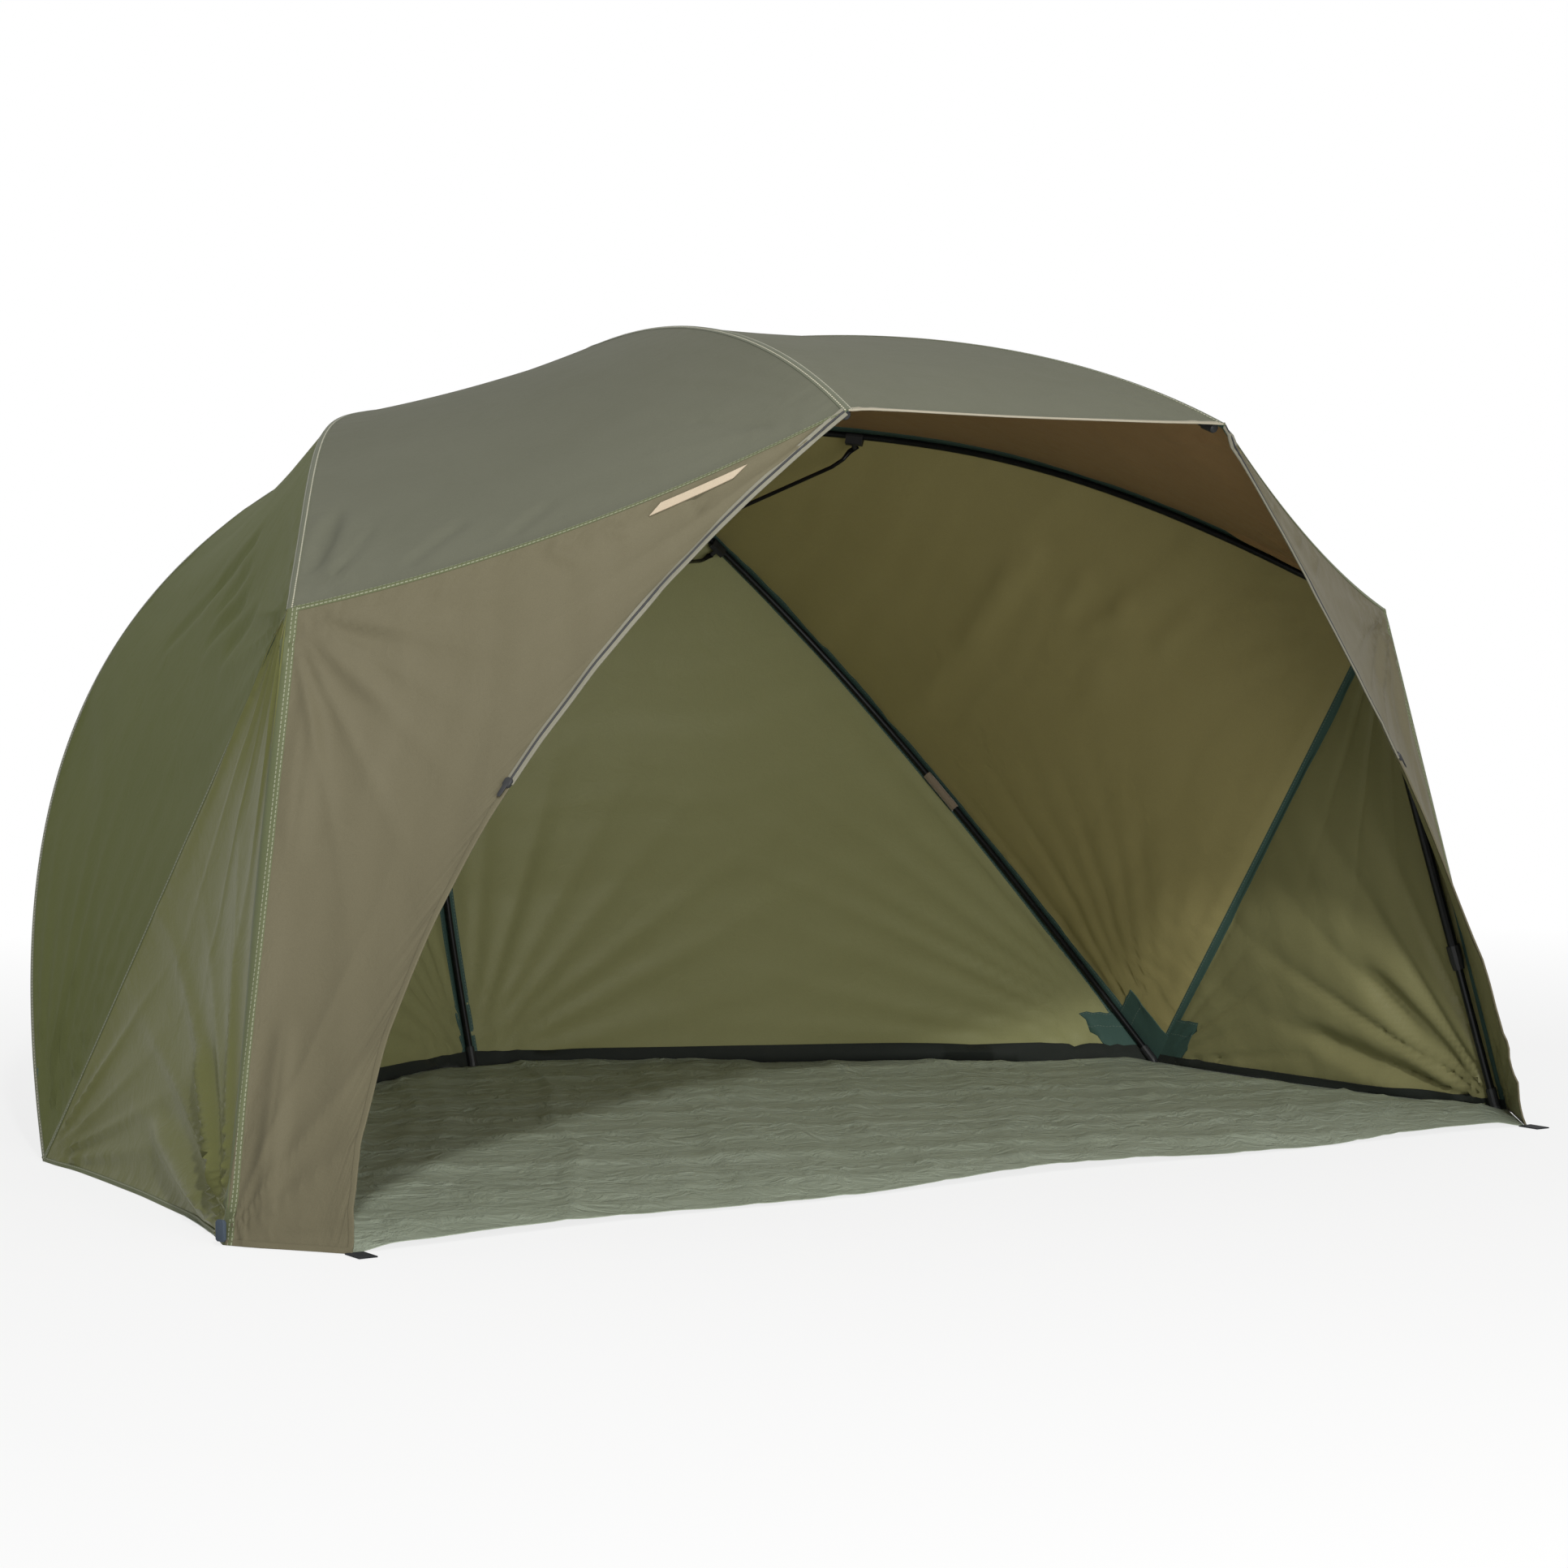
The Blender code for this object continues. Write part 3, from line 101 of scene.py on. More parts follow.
def place(x: float, y: float, z: float) -> np.ndarray:
    """A point or direction."""
    return np.array((x, y, z), dtype=float)


def unit(vectors: np.ndarray) -> np.ndarray:
    """The vectors at length one."""
    return vectors / np.maximum(np.linalg.norm(vectors, axis=-1, keepdims=True), TINY)


def on_side(points: np.ndarray, side: Side) -> np.ndarray:
    """The points themselves on the right, or their mirror on the left."""
    return points * place(1.0 if side is Side.RIGHT else -1.0, 1.0, 1.0)


def run_lengths(points: np.ndarray) -> np.ndarray:
    """Distance of each point along a line of points."""
    steps = np.linalg.norm(np.diff(points, axis=0), axis=1)
    return np.concatenate(([0.0], np.cumsum(steps)))


def along(points: np.ndarray, distances: np.ndarray | float) -> np.ndarray:
    """Points of a line at distances along it."""
    lengths = run_lengths(points)
    return np.stack([np.interp(distances, lengths, points[:, k]) for k in range(3)], axis=-1)


def spaced(points: np.ndarray, steps: int, start: float = 0.0) -> np.ndarray:
    """Evenly spaced points of a line, from a share of its length to its end."""
    return along(points, np.linspace(start, 1.0, steps + 1) * run_lengths(points)[-1])


def smooth_step(values: np.ndarray) -> np.ndarray:
    """Soft rise from 0 to 1."""
    held = np.clip(values, 0.0, 1.0)
    return held * held * (3.0 - 2.0 * held)


def wander(values: np.ndarray, seed: float) -> np.ndarray:
    """A smooth wave that seems random, of about unit height.

    Args:
        values: places along the wave, in radians of its slowest part.
        seed: number that picks the wave.

    Returns:
        The wave's height at each place, the same for the same seed.
    """
    total = np.zeros_like(values)
    for k, pace in enumerate(WAVE_PACES):
        total += np.sin(values * pace + seed * (2.3 + 1.7 * k) + k * k) / (1.0 + 0.8 * k)
    return total / WAVE_SIZE


def above_ground(points: np.ndarray) -> np.ndarray:
    """The points themselves, those below the ground raised to it."""
    points[..., 2] = np.maximum(points[..., 2], 0.0)
    return points


def curve(handles: Sequence[np.ndarray], count: int = 400) -> np.ndarray:
    """A curve from its first handle to its last.

    Args:
        handles: the two ends, with the curve's two handles between them.
        count: steps between the ends.

    Returns:
        The curve's count + 1 points.
    """
    t = np.linspace(0.0, 1.0, count + 1)[:, None]
    s = 1.0 - t
    a, b, c, d = handles
    return a * s**3 + b * (3.0 * s * s * t) + c * (3.0 * s * t * t) + d * t**3


@dataclass(frozen=True)
class Bow:
    """How a curve leaves one of its ends, as shares of its straight length."""

    forward_share: float
    outward_share: float
    sideways_share: float


def bowed(start: np.ndarray, end: np.ndarray, outward: np.ndarray, sideways: np.ndarray,
          bows: tuple[Bow, Bow]) -> np.ndarray:
    """A curve between two places that bows at both of its ends.

    Args:
        start: first place.
        end: last place.
        outward: direction of the outward shares.
        sideways: direction of the sideways shares.
        bows: how the curve leaves its start and its end.

    Returns:
        The curve's points.
    """
    size = np.linalg.norm(end - start)
    ahead = (end - start) / size
    first, last = bows
    near = ahead * first.forward_share + outward * first.outward_share + sideways * first.sideways_share
    far = outward * last.outward_share + sideways * last.sideways_share - ahead * last.forward_share
    return curve((start, start + near * size, end + far * size, end))


@dataclass(frozen=True)
class Shelter:
    """Driving sizes of the shelter and every seam that its covers hang between."""

    crown: Place = (0.0, 1.395, 1.376)
    fold_tilt_deg: float = 45.0
    front_tip: Place = (0.376, -0.266, 1.239)
    elbow: Place = (1.124, 0.147, 0.933)
    back_corner: Place = (1.215, 0.915, 0.0)
    back_middle: Place = (0.0, 1.64, 0.0)
    foot: Place = (1.306, 0.0, 0.0)
    peg_corner: Place = (1.18, -0.17, 0.0)
    crown_hole: float = 34.0 * MM
    roof_seam_drop: float = 30.0 * MM
    infill_hem_bow: float = 34.0 * MM
    infill_hem_way: Place = (-1.0, -0.1, 0.0)
    cover_thickness: float = 1.6 * MM
    rib_radius: float = 6.5 * MM
    rib_room: float = 11.2 * MM
    hub_drop: float = 52.0 * MM
    pivot_radius: float = 26.0 * MM
    front_rib_inset: float = 14.0 * MM
    elbow_inset: float = 10.0 * MM
    foot_height: float = 8.3 * MM
    front_bows: tuple[Bow, Bow] = (Bow(0.29, 0.07, 0.03), Bow(0.30, 0.11, 0.02))
    side_bows: tuple[Bow, Bow] = (Bow(0.38, 0.12, -0.12), Bow(0.55, 0.16, 0.01))
    back_corner_bows: tuple[Bow, Bow] = (Bow(0.30, 0.41, -0.05), Bow(0.32, 0.24, -0.03))
    back_middle_bows: tuple[Bow, Bow] = (Bow(0.30, 0.38, 0.0), Bow(0.31, 0.18, 0.0))
    opening_bows: tuple[Bow, Bow] = (Bow(0.28, 0.08, 0.08), Bow(0.27, 0.15, 0.08))

    @property
    def fold_line(self) -> np.ndarray:
        """Direction that the ribs fold to."""
        tilt = math.radians(self.fold_tilt_deg)
        return place(0.0, -math.sin(tilt), -math.cos(tilt))

    def corner(self, name: str, side: Side) -> np.ndarray:
        """A named corner on one side."""
        return on_side(place(*getattr(self, name)), side)

    def rib_seam(self, kind: str, side: Side) -> np.ndarray:
        """Seam over a rib, before it is spaced.

        Args:
            kind: front, side, back_corner or back_middle.
            side: side of the shelter.

        Returns:
            Points from the crown to the rib's tip.
        """
        tips = {"front": self.front_tip, "side": self.elbow, "back_corner": self.back_corner,
                "back_middle": self.back_middle}
        crown = place(*self.crown)
        tip = place(*tips[kind])
        ahead = (tip - crown) / np.linalg.norm(tip - crown)
        outward = unit(ahead * self.fold_line.dot(ahead) - self.fold_line)
        return on_side(bowed(crown, tip, outward, np.cross(ahead, outward), getattr(self, f"{kind}_bows")), side)

    def opening_edge(self, side: Side) -> np.ndarray:
        """Edge of the opening.

        Args:
            side: side of the shelter.

        Returns:
            Points from the roof's front corner to the peg corner.
        """
        tip = place(*self.front_tip)
        peg = place(*self.peg_corner)
        ahead = (peg - tip) / np.linalg.norm(peg - tip)
        outward = unit(place(1.0, 0.0, 0.0) - ahead * ahead[0])
        return on_side(bowed(tip, peg, outward, place(0.0, 1.0, 0.0), self.opening_bows), side)

    def lines(self, steps: int) -> dict[str, np.ndarray]:
        """Every seam and edge that the covers hang between.

        Args:
            steps: steps along each of them.

        Returns:
            By name, steps + 1 points.
        """
        result = {}
        back = place(*self.back_middle)
        share = np.linspace(0.0, 1.0, steps + 1)[:, None]
        drop = place(0.0, 0.0, -self.roof_seam_drop) * 4.0 * share * (1.0 - share)
        for side in Side:
            tag = side.value
            for kind in ("front", "side", "back_corner"):
                result[f"{kind}_{tag}"] = self.gore_seam(kind, side, steps)
            tip = self.corner("front_tip", side)
            elbow = self.corner("elbow", side)
            corner = self.corner("back_corner", side)
            foot = self.corner("foot", side)
            peg = self.corner("peg_corner", side)
            result[f"roof_seam_{tag}"] = tip + (elbow - tip) * share + drop
            result[f"side_seam_{tag}"] = elbow + (corner - elbow) * share
            result[f"leg_{tag}"] = elbow + (foot - elbow) * share
            result[f"opening_{tag}"] = spaced(self.opening_edge(side), steps)
            result[f"wing_hem_{tag}"] = foot + (peg - foot) * share
            bow = unit(on_side(place(*self.infill_hem_way), side)) * self.infill_hem_bow * 4.0 * share * (1.0 - share)
            result[f"infill_hem_{tag}"] = foot + (corner - foot) * share + bow
            result[f"back_hem_{tag}"] = corner + (back - corner) * share
        result["back_middle"] = self.gore_seam("back_middle", Side.RIGHT, steps)
        left_tip = self.corner("front_tip", Side.LEFT)
        result["roof_hem"] = left_tip + (self.corner("front_tip", Side.RIGHT) - left_tip) * share
        return result

    def gore_seam(self, kind: str, side: Side, steps: int) -> np.ndarray:
        """A rib's seam from the crown hole to its tip."""
        points = self.rib_seam(kind, side)
        return spaced(points, steps, self.crown_hole / run_lengths(points)[-1])


@dataclass(frozen=True)
class Fan:
    """Creases that fan out of a corner where the cloth is pulled."""

    apex: np.ndarray
    first: np.ndarray
    last: np.ndarray
    count: float
    height: float
    near: float
    reach: float
    seed: float = 0.0
    waver: float = 0.55
    sharpness: float = 1.6
    mean_height: float = 0.28
    steadiness: float = 0.65

    def height_at(self, points: np.ndarray) -> np.ndarray:
        """Height of the creases at the points.

        Args:
            points: grid of places on the cloth.

        Returns:
            Heights along the outward normal, about zero on average.
        """
        start = unit(self.first - self.apex)
        end = unit(self.last - self.apex)
        side = unit(end - start * start.dot(end))
        span = math.acos(max(-1.0, min(1.0, float(start.dot(end)))))
        away = points - self.apex
        forward = away @ start
        across = away @ side
        distance = np.hypot(forward, across)
        turn = np.arctan2(across, forward) / span
        angle = turn * self.count * math.pi + self.waver * wander(turn * 9.0 + distance * 1.6, self.seed)
        ridge = 1.0 - np.abs(np.sin(angle))
        strength = self.steadiness + (1.0 - self.steadiness) * wander(turn * 14.0, self.seed + 3.0)
        fade = smooth_step(distance / self.near) * np.exp(-((distance / self.reach) ** 2.0))
        return self.height * strength * fade * (ridge**self.sharpness - self.mean_height)


@dataclass(frozen=True)
class Crease:
    """One long pucker between two places."""

    start: np.ndarray
    end: np.ndarray
    width: float
    height: float
    bend: float = 0.0
    dip_share: float = 0.4
    dip_spread: float = 2.6
    end_pace: float = 4.0

    def height_at(self, points: np.ndarray) -> np.ndarray:
        """Height of the pucker at the points.

        Args:
            points: grid of places on the cloth.

        Returns:
            Heights along the outward normal, with a shallow dip on both sides.
        """
        length = float(np.linalg.norm(self.end - self.start))
        ahead = (self.end - self.start) / length
        away = points - self.start
        share = (away @ ahead) / length
        off = away - (away @ ahead)[..., None] * ahead
        side = np.linalg.norm(off, axis=-1) - self.bend * np.sin(np.clip(share, 0.0, 1.0) * math.pi)
        dip = self.dip_share * np.exp(-((side / (self.dip_spread * self.width)) ** 2.0))
        body = np.exp(-((side / self.width) ** 2.0)) - dip
        ends = smooth_step(share * self.end_pace) * smooth_step((1.0 - share) * self.end_pace)
        return self.height * body * ends


@dataclass(frozen=True)
class Ripple:
    """Faint drag lines over a whole cover."""

    direction: np.ndarray
    spacing: float
    length: float
    height: float
    seed: float = 0.0
    grain: Place = (0.31, 0.84, 0.44)

    def height_at(self, points: np.ndarray) -> np.ndarray:
        """Height of the drag lines at the points.

        Args:
            points: grid of places on the cloth.

        Returns:
            Heights along the outward normal, about zero on average.
        """
        ahead = unit(self.direction)
        side = unit(np.cross(ahead, place(*self.grain)))
        down = points @ ahead / self.length
        across = points @ side / self.spacing
        other = points @ np.cross(ahead, side) / self.spacing
        wave = wander(across * 2.6 + 0.8 * wander(down * 2.0, self.seed), self.seed + 1.0)
        patch = 0.5 + 0.5 * wander(down * 1.9 + across * 0.35 + other * 0.4, self.seed + 2.0)
        return self.height * wave * np.clip(patch, 0.0, 1.0)


@dataclass(frozen=True)
class Fold:
    """The body that a cover and what is sewn to it ride on, with the axis and anchor of their gathering as the
    umbrella closes.
    """

    body: str
    axis: np.ndarray
    anchor: np.ndarray
    keep: float = 0.07

    def carry(self, piece: bpy.types.Object) -> None:
        """Makes a piece ride on the body and gives it a mesh of its own."""
        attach(piece, self.body)
        self.gather(piece)

    def gather(self, piece: bpy.types.Object) -> None:
        """Gives a piece that rides on the body a mesh of its own."""
        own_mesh(piece)


@dataclass(frozen=True)
class Slack:
    """How far the gores hang inward, as shares of their widths."""

    front: float
    roof: float
    side: float
    back: float


class Cover:
    """A cloth panel between four edges."""

    def __init__(self, name: str, lines: dict[str, np.ndarray], edges: tuple[str | np.ndarray, ...],
                 sewn: set[Edge], sag: float) -> None:
        """Lays the panel out.

        Args:
            name: node that the panel stands for.
            lines: seams and edges by name.
            edges: left, right, top and bottom lines, by name or as points.
            sewn: edges that are joined to another cover.
            sag: how far the middle hangs inward, in metres.
        """
        self.name = name
        self.sewn = sewn
        left, right, top, bottom = [lines[edge] if isinstance(edge, str) else edge for edge in edges]
        self.steps = len(left) - 1
        u = np.linspace(0.0, 1.0, self.steps + 1)[None, :, None]
        v = np.linspace(0.0, 1.0, self.steps + 1)[:, None, None]
        sides = left[:, None] * (1.0 - u) + right[:, None] * u
        ends = top[None] * (1.0 - v) + bottom[None] * v
        corners = ((top[0] * (1.0 - u) + top[-1] * u) * (1.0 - v)
                   + (bottom[0] * (1.0 - u) + bottom[-1] * u) * v)
        self.grid = sides + ends - corners
        self.u = u[..., 0] + 0.0 * v[..., 0]
        self.v = v[..., 0] + 0.0 * u[..., 0]
        self.turn = 1.0
        middle = self.steps // 2
        away = self.grid[middle, middle] - place(*INSIDE_PLACE)
        if self.normals()[middle, middle].dot(away) < 0.0:
            self.turn = -1.0
        if sag:
            self.push(-sag * 4.0 * self.u * (1.0 - self.u) * np.sin(math.pi * self.v / 2.0))
        self.flat_grid = self.grid.copy()

    def normals(self) -> np.ndarray:
        """Outward normals of the grid.

        Returns:
            Grid of directions of length one.
        """
        down = np.gradient(self.grid, axis=0)
        across = np.gradient(self.grid, axis=1)
        for row, beside in ((0, 1), (-1, -2)):
            if np.linalg.norm(across[row]) < POINT_LENGTH:
                across[row] = across[beside]
        return unit(np.cross(across, down)) * self.turn

    def spot(self, across: float, down: float) -> np.ndarray:
        """Place at shares of the way across and down the panel."""
        return self.grid[round(down * self.steps), round(across * self.steps)]

    def tuck(self, start: tuple[float, float], end: tuple[float, float], width: float, height: float,
             bend: float = 0.0) -> Crease:
        """A crease between two (across, down) places of the panel, sizes in millimetres."""
        return Crease(self.spot(*start), self.spot(*end), width * MM, height * MM, bend * MM)

    def push(self, amount: np.ndarray) -> None:
        """Moves the inner points along their normals."""
        moved = self.grid + self.normals() * amount[..., None]
        self.grid[1:-1, 1:-1] = moved[1:-1, 1:-1]

    def dress(self, folds: Iterable[Fan | Crease | Ripple], edge_room: float = 0.035) -> None:
        """Adds folds that die out at the sewn edges.

        Args:
            folds: fans, creases and ripples.
            edge_room: share of the cover over which they die out.
        """
        total = sum(fold.height_at(self.grid) for fold in folds)
        window = np.ones_like(self.u)
        for edge, share in ((Edge.LEFT, self.u), (Edge.RIGHT, 1.0 - self.u), (Edge.TOP, self.v),
                            (Edge.BOTTOM, 1.0 - self.v)):
            if edge in self.sewn:
                window = window * smooth_step(share / edge_room)
        self.grid = above_ground(self.grid + self.normals() * (total * window)[..., None])

    def run(self, edge: Edge, inset: float, lift: float, backwards: bool = False) -> np.ndarray:
        """A line beside one of the edges.

        Args:
            edge: the edge that the line follows.
            inset: distance from the edge into the panel.
            lift: height over the cloth, or below it.
            backwards: whether the line starts at the edge's other end.

        Returns:
            One point for each step of the edge.
        """
        grid = self.grid
        normals = self.normals()
        if edge in (Edge.TOP, Edge.BOTTOM):
            grid = grid.transpose(1, 0, 2)
            normals = normals.transpose(1, 0, 2)
        if edge in (Edge.RIGHT, Edge.BOTTOM):
            grid = grid[:, ::-1]
            normals = normals[:, ::-1]
        result = []
        for row, row_normals in zip(grid, normals):
            lengths = run_lengths(row)
            here = min(inset, lengths[-1] * NARROW_SHARE)
            point = along(row, here)
            normal = np.array([np.interp(here, lengths, row_normals[:, k]) for k in range(3)])
            result.append(point + unit(normal) * lift)
        return np.array(result[::-1] if backwards else result)

    def patch(self, across: tuple[int, int], down: tuple[int, int], lift: float) -> np.ndarray:
        """Points of a piece sewn on the panel.

        Args:
            across: first and last part of the PATCH_PARTS from the left to the right edge.
            down: first and last part of the PATCH_PARTS from the top to the bottom.
            lift: height over the cloth, or below it.

        Returns:
            Grid of points.
        """
        raised = self.grid + self.normals() * lift
        part = self.steps // PATCH_PARTS
        return raised[down[0] * part:down[1] * part + 1, across[0] * part:across[1] * part + 1]

    def area(self) -> float:
        """Area of the panel before its folds.

        Returns:
            Square metres.
        """
        grid = self.flat_grid
        first = np.cross(grid[1:, :-1] - grid[:-1, :-1], grid[:-1, 1:] - grid[:-1, :-1])
        second = np.cross(grid[1:, :-1] - grid[1:, 1:], grid[:-1, 1:] - grid[1:, 1:])
        return float((np.linalg.norm(first, axis=-1) + np.linalg.norm(second, axis=-1)).sum() / 2.0)

    def cut(self) -> tuple[float, float]:
        """Size of the cloth that the panel is cut from, with its longest seam along it.

        Returns:
            Width and length.
        """
        grid = self.flat_grid
        lengths = np.linalg.norm(np.diff(grid, axis=0), axis=-1).sum(axis=0)
        seam = grid[:, int(np.argmax(lengths))]
        ahead = unit(seam[-1] - seam[0])
        away = grid - seam[0]
        reach = np.linalg.norm(away - (away @ ahead)[..., None] * ahead, axis=-1)
        return float(reach.max()), float(lengths.max())

    def gathers(self, edge: Edge, body: str, lean_deg: float = 0.0) -> Fold:
        """The fold that draws the panel to one of its edges.

        Args:
            edge: the edge that carries the panel.
            body: the body of that edge.
            lean_deg: turn of the fold that lets the gathered cloth stand outward.

        Returns:
            The fold.
        """
        grid = self.flat_grid if edge is Edge.LEFT else self.flat_grid[:, ::-1]
        carried = grid[:, 0]
        ahead = unit(carried[-1] - carried[0])
        away = grid[:, -1].mean(axis=0) - carried.mean(axis=0)
        axis = unit(away - ahead * away.dot(ahead))
        out = self.normals().mean(axis=(0, 1))
        out = unit(out - ahead * out.dot(ahead) - axis * out.dot(axis))
        lean = math.radians(lean_deg)
        return Fold(body, axis * math.cos(lean) - out * math.sin(lean), carried.mean(axis=0))


# Meshes


def add_object(name: str, data: bpy.types.ID) -> bpy.types.Object:
    """An object in the scene.

    Args:
        name: name of the object.
        data: its mesh, lamp or camera.

    Returns:
        The object.
    """
    made = bpy.data.objects.new(name, data)
    bpy.context.scene.collection.objects.link(made)
    return made


def add_mesh(name: str, points: np.ndarray, faces: Sequence, uvs: dict[str, Sequence] | None = None,
             smooth_angle_deg: float = EDGE_ANGLE_DEG) -> bpy.types.Object:
    """A mesh object with its faces turned outward.

    Args:
        name: name of the piece.
        points: corner places.
        faces: corner numbers of each face.
        uvs: by layer, one (u, v) pair for each corner of each face, in metres.
        smooth_angle_deg: edges sharper than this stay sharp.

    Returns:
        The object, in the scene.
    """
    mesh = bpy.data.meshes.new(name)
    mesh.from_pydata([tuple(point) for point in points], [], [tuple(face) for face in faces])
    for label, pairs in (uvs or {}).items():
        layer = mesh.uv_layers.new(name=label)
        layer.data.foreach_set("uv", np.array(pairs, dtype=float).ravel())
    shell = bmesh.new()
    shell.from_mesh(mesh)
    bmesh.ops.recalc_face_normals(shell, faces=shell.faces)
    if shell.calc_volume(signed=True) < 0.0:
        bmesh.ops.reverse_faces(shell, faces=shell.faces)
    shell.to_mesh(mesh)
    shell.free()
    mesh.shade_smooth()
    mesh.set_sharp_from_angle(angle=math.radians(smooth_angle_deg))
    return add_object(name, mesh)


def loft(name: str, rings: np.ndarray, smooth_angle_deg: float = EDGE_ANGLE_DEG) -> bpy.types.Object:
    """A closed skin through rings of equal count, with a face at both ends.

    Args:
        name: name of the piece.
        rings: grid of rings by corners.
        smooth_angle_deg: edges sharper than this stay sharp.

    Returns:
        The object, with metres along it as u and metres round it as v.
    """
    count, sides = rings.shape[:2]
    us = run_lengths(rings.mean(axis=1))
    around = run_lengths(np.vstack((rings[count // 2], rings[count // 2][:1])))
    faces = []
    uvs = []
    for row in range(count - 1):
        start = row * sides
        after = start + sides
        u0, u1 = us[row:row + 2]
        for k in range(sides):
            m = (k + 1) % sides
            faces.append((start + k, start + m, after + m, after + k))
            uvs += [(u0, around[k]), (u0, around[k + 1]), (u1, around[k + 1]), (u1, around[k])]
    for row in (0, count - 1):
        faces.append(tuple(row * sides + k for k in range(sides)))
        uvs += [(us[row], around[k]) for k in range(sides)]
    return add_mesh(name, rings.reshape(-1, 3), faces, {"UVMap": uvs}, smooth_angle_deg)


def plate(name: str, upper: np.ndarray, lower: np.ndarray,
          uvs: dict[str, np.ndarray] | None = None) -> bpy.types.Object:
    """A closed sheet between an upper and a lower grid.

    Args:
        name: name of the piece.
        upper: outer grid of points.
        lower: inner grid of points.
        uvs: by layer, one (u, v) pair for each point of a grid.

    Returns:
        The object, with faces in the order outer, inner for each place, then the rim.
    """
    rows, count = upper.shape[:2]
    base = rows * count
    layers = uvs or {"UVMap": flat_uvs(upper)}
    pairs = {label: [] for label in layers}
    spots = {label: values.reshape(-1, 2) for label, values in layers.items()}
    faces = []
    for j in range(rows - 1):
        for i in range(count - 1):
            k = j * count + i
            quad = (k, k + 1, k + count + 1, k + count)
            back = (quad[0], quad[3], quad[2], quad[1])
            faces += [quad, tuple(base + m for m in back)]
            for label in layers:
                pairs[label] += [tuple(spots[label][m]) for m in quad + back]
    last = rows - 1
    rim = list(range(count)) + [j * count + count - 1 for j in range(1, rows)]
    rim += [last * count + i for i in range(count - 2, -1, -1)] + [j * count for j in range(last - 1, 0, -1)]
    for k, here in enumerate(rim):
        after = rim[(k + 1) % len(rim)]
        faces.append((here, base + here, base + after, after))
        for label in layers:
            pairs[label] += [tuple(spots[label][m]) for m in (here, here, after, after)]
    return add_mesh(name, np.concatenate((upper.reshape(-1, 3), lower.reshape(-1, 3))), faces, pairs,
                    SHEET_ANGLE_DEG)


def flat_uvs(grid: np.ndarray) -> np.ndarray:
    """Flat layout of a grid.

    Args:
        grid: grid of points.

    Returns:
        For each point, the distances along its row and down its column.
    """
    across = np.zeros(grid.shape[:2])
    down = np.zeros(grid.shape[:2])
    across[:, 1:] = np.cumsum(np.linalg.norm(np.diff(grid, axis=1), axis=-1), axis=1)
    down[1:] = np.cumsum(np.linalg.norm(np.diff(grid, axis=0), axis=-1), axis=0)
    return np.stack((across, down), axis=-1)


def swept(line: np.ndarray, upright: np.ndarray, outline: np.ndarray) -> np.ndarray:
    """Rings of an outline carried along a line.

    Args:
        line: centre points.
        upright: direction of the outline's y axis, one for all or one for each point.
        outline: (x, y) pairs, or such pairs for each point.

    Returns:
        Grid of rings by corners.
    """
    tangents = unit(np.gradient(line, axis=0))
    upright = np.broadcast_to(upright, line.shape)
    up = unit(upright - tangents * np.sum(tangents * upright, axis=-1, keepdims=True))
    across = np.cross(tangents, up)
    outline = np.broadcast_to(outline, (len(line), *outline.shape[-2:]))
    return line[:, None] + across[:, None] * outline[..., :1] + up[:, None] * outline[..., 1:]


def oval(half_width: float, half_height: float, sides: int = 16) -> np.ndarray:
    """Outline of a round or oval bar."""
    angles = (np.arange(sides) + 0.5) * 2.0 * math.pi / sides
    return np.stack((half_width * np.cos(angles), half_height * np.sin(angles)), axis=-1)


def rounded_box(half_width: float, half_height: float, corner: float, steps: int = 3) -> np.ndarray:
    """Outline of a flat bar with round corners.

    Args:
        half_width: half of its width.
        half_height: half of its height.
        corner: radius of its corners.
        steps: steps round each corner.

    Returns:
        (x, y) pairs in order round the bar.
    """
    points = []
    for turn, x, y in ((0, 1, 1), (1, -1, 1), (2, -1, -1), (3, 1, -1)):
        for k in range(steps + 1):
            angle = (turn + k / steps) * math.pi / 2.0
            points.append((x * (half_width - corner) + corner * math.cos(angle),
                           y * (half_height - corner) + corner * math.sin(angle)))
    return np.array(points)


# Shader node groups, each built once

THREAD_HEIGHT = 0.06  # height of the threads beside that of the crumple
PUCKER_STRETCH = 0.35  # how little a pucker changes away from its seam
STITCH_SHARE = 0.66  # part of the stitch pitch that thread covers
FADE_RANGE = (0.38, 0.68)  # noise at which the worn colour starts and is full
SPECK_SCALE = 900.0
SCUFF_SCALE = 24.0
SCUFF_RANGE = (0.52, 0.75)  # noise at which a scuff starts and is full
SCUFF_ROUGHNESS = 0.14
SCRATCH_SCALE = 260.0
SCRATCH_RANGE = (0.45, 0.62)  # noise at which a scratch starts and is full
HARD_GRAIN_SCALE = 420.0


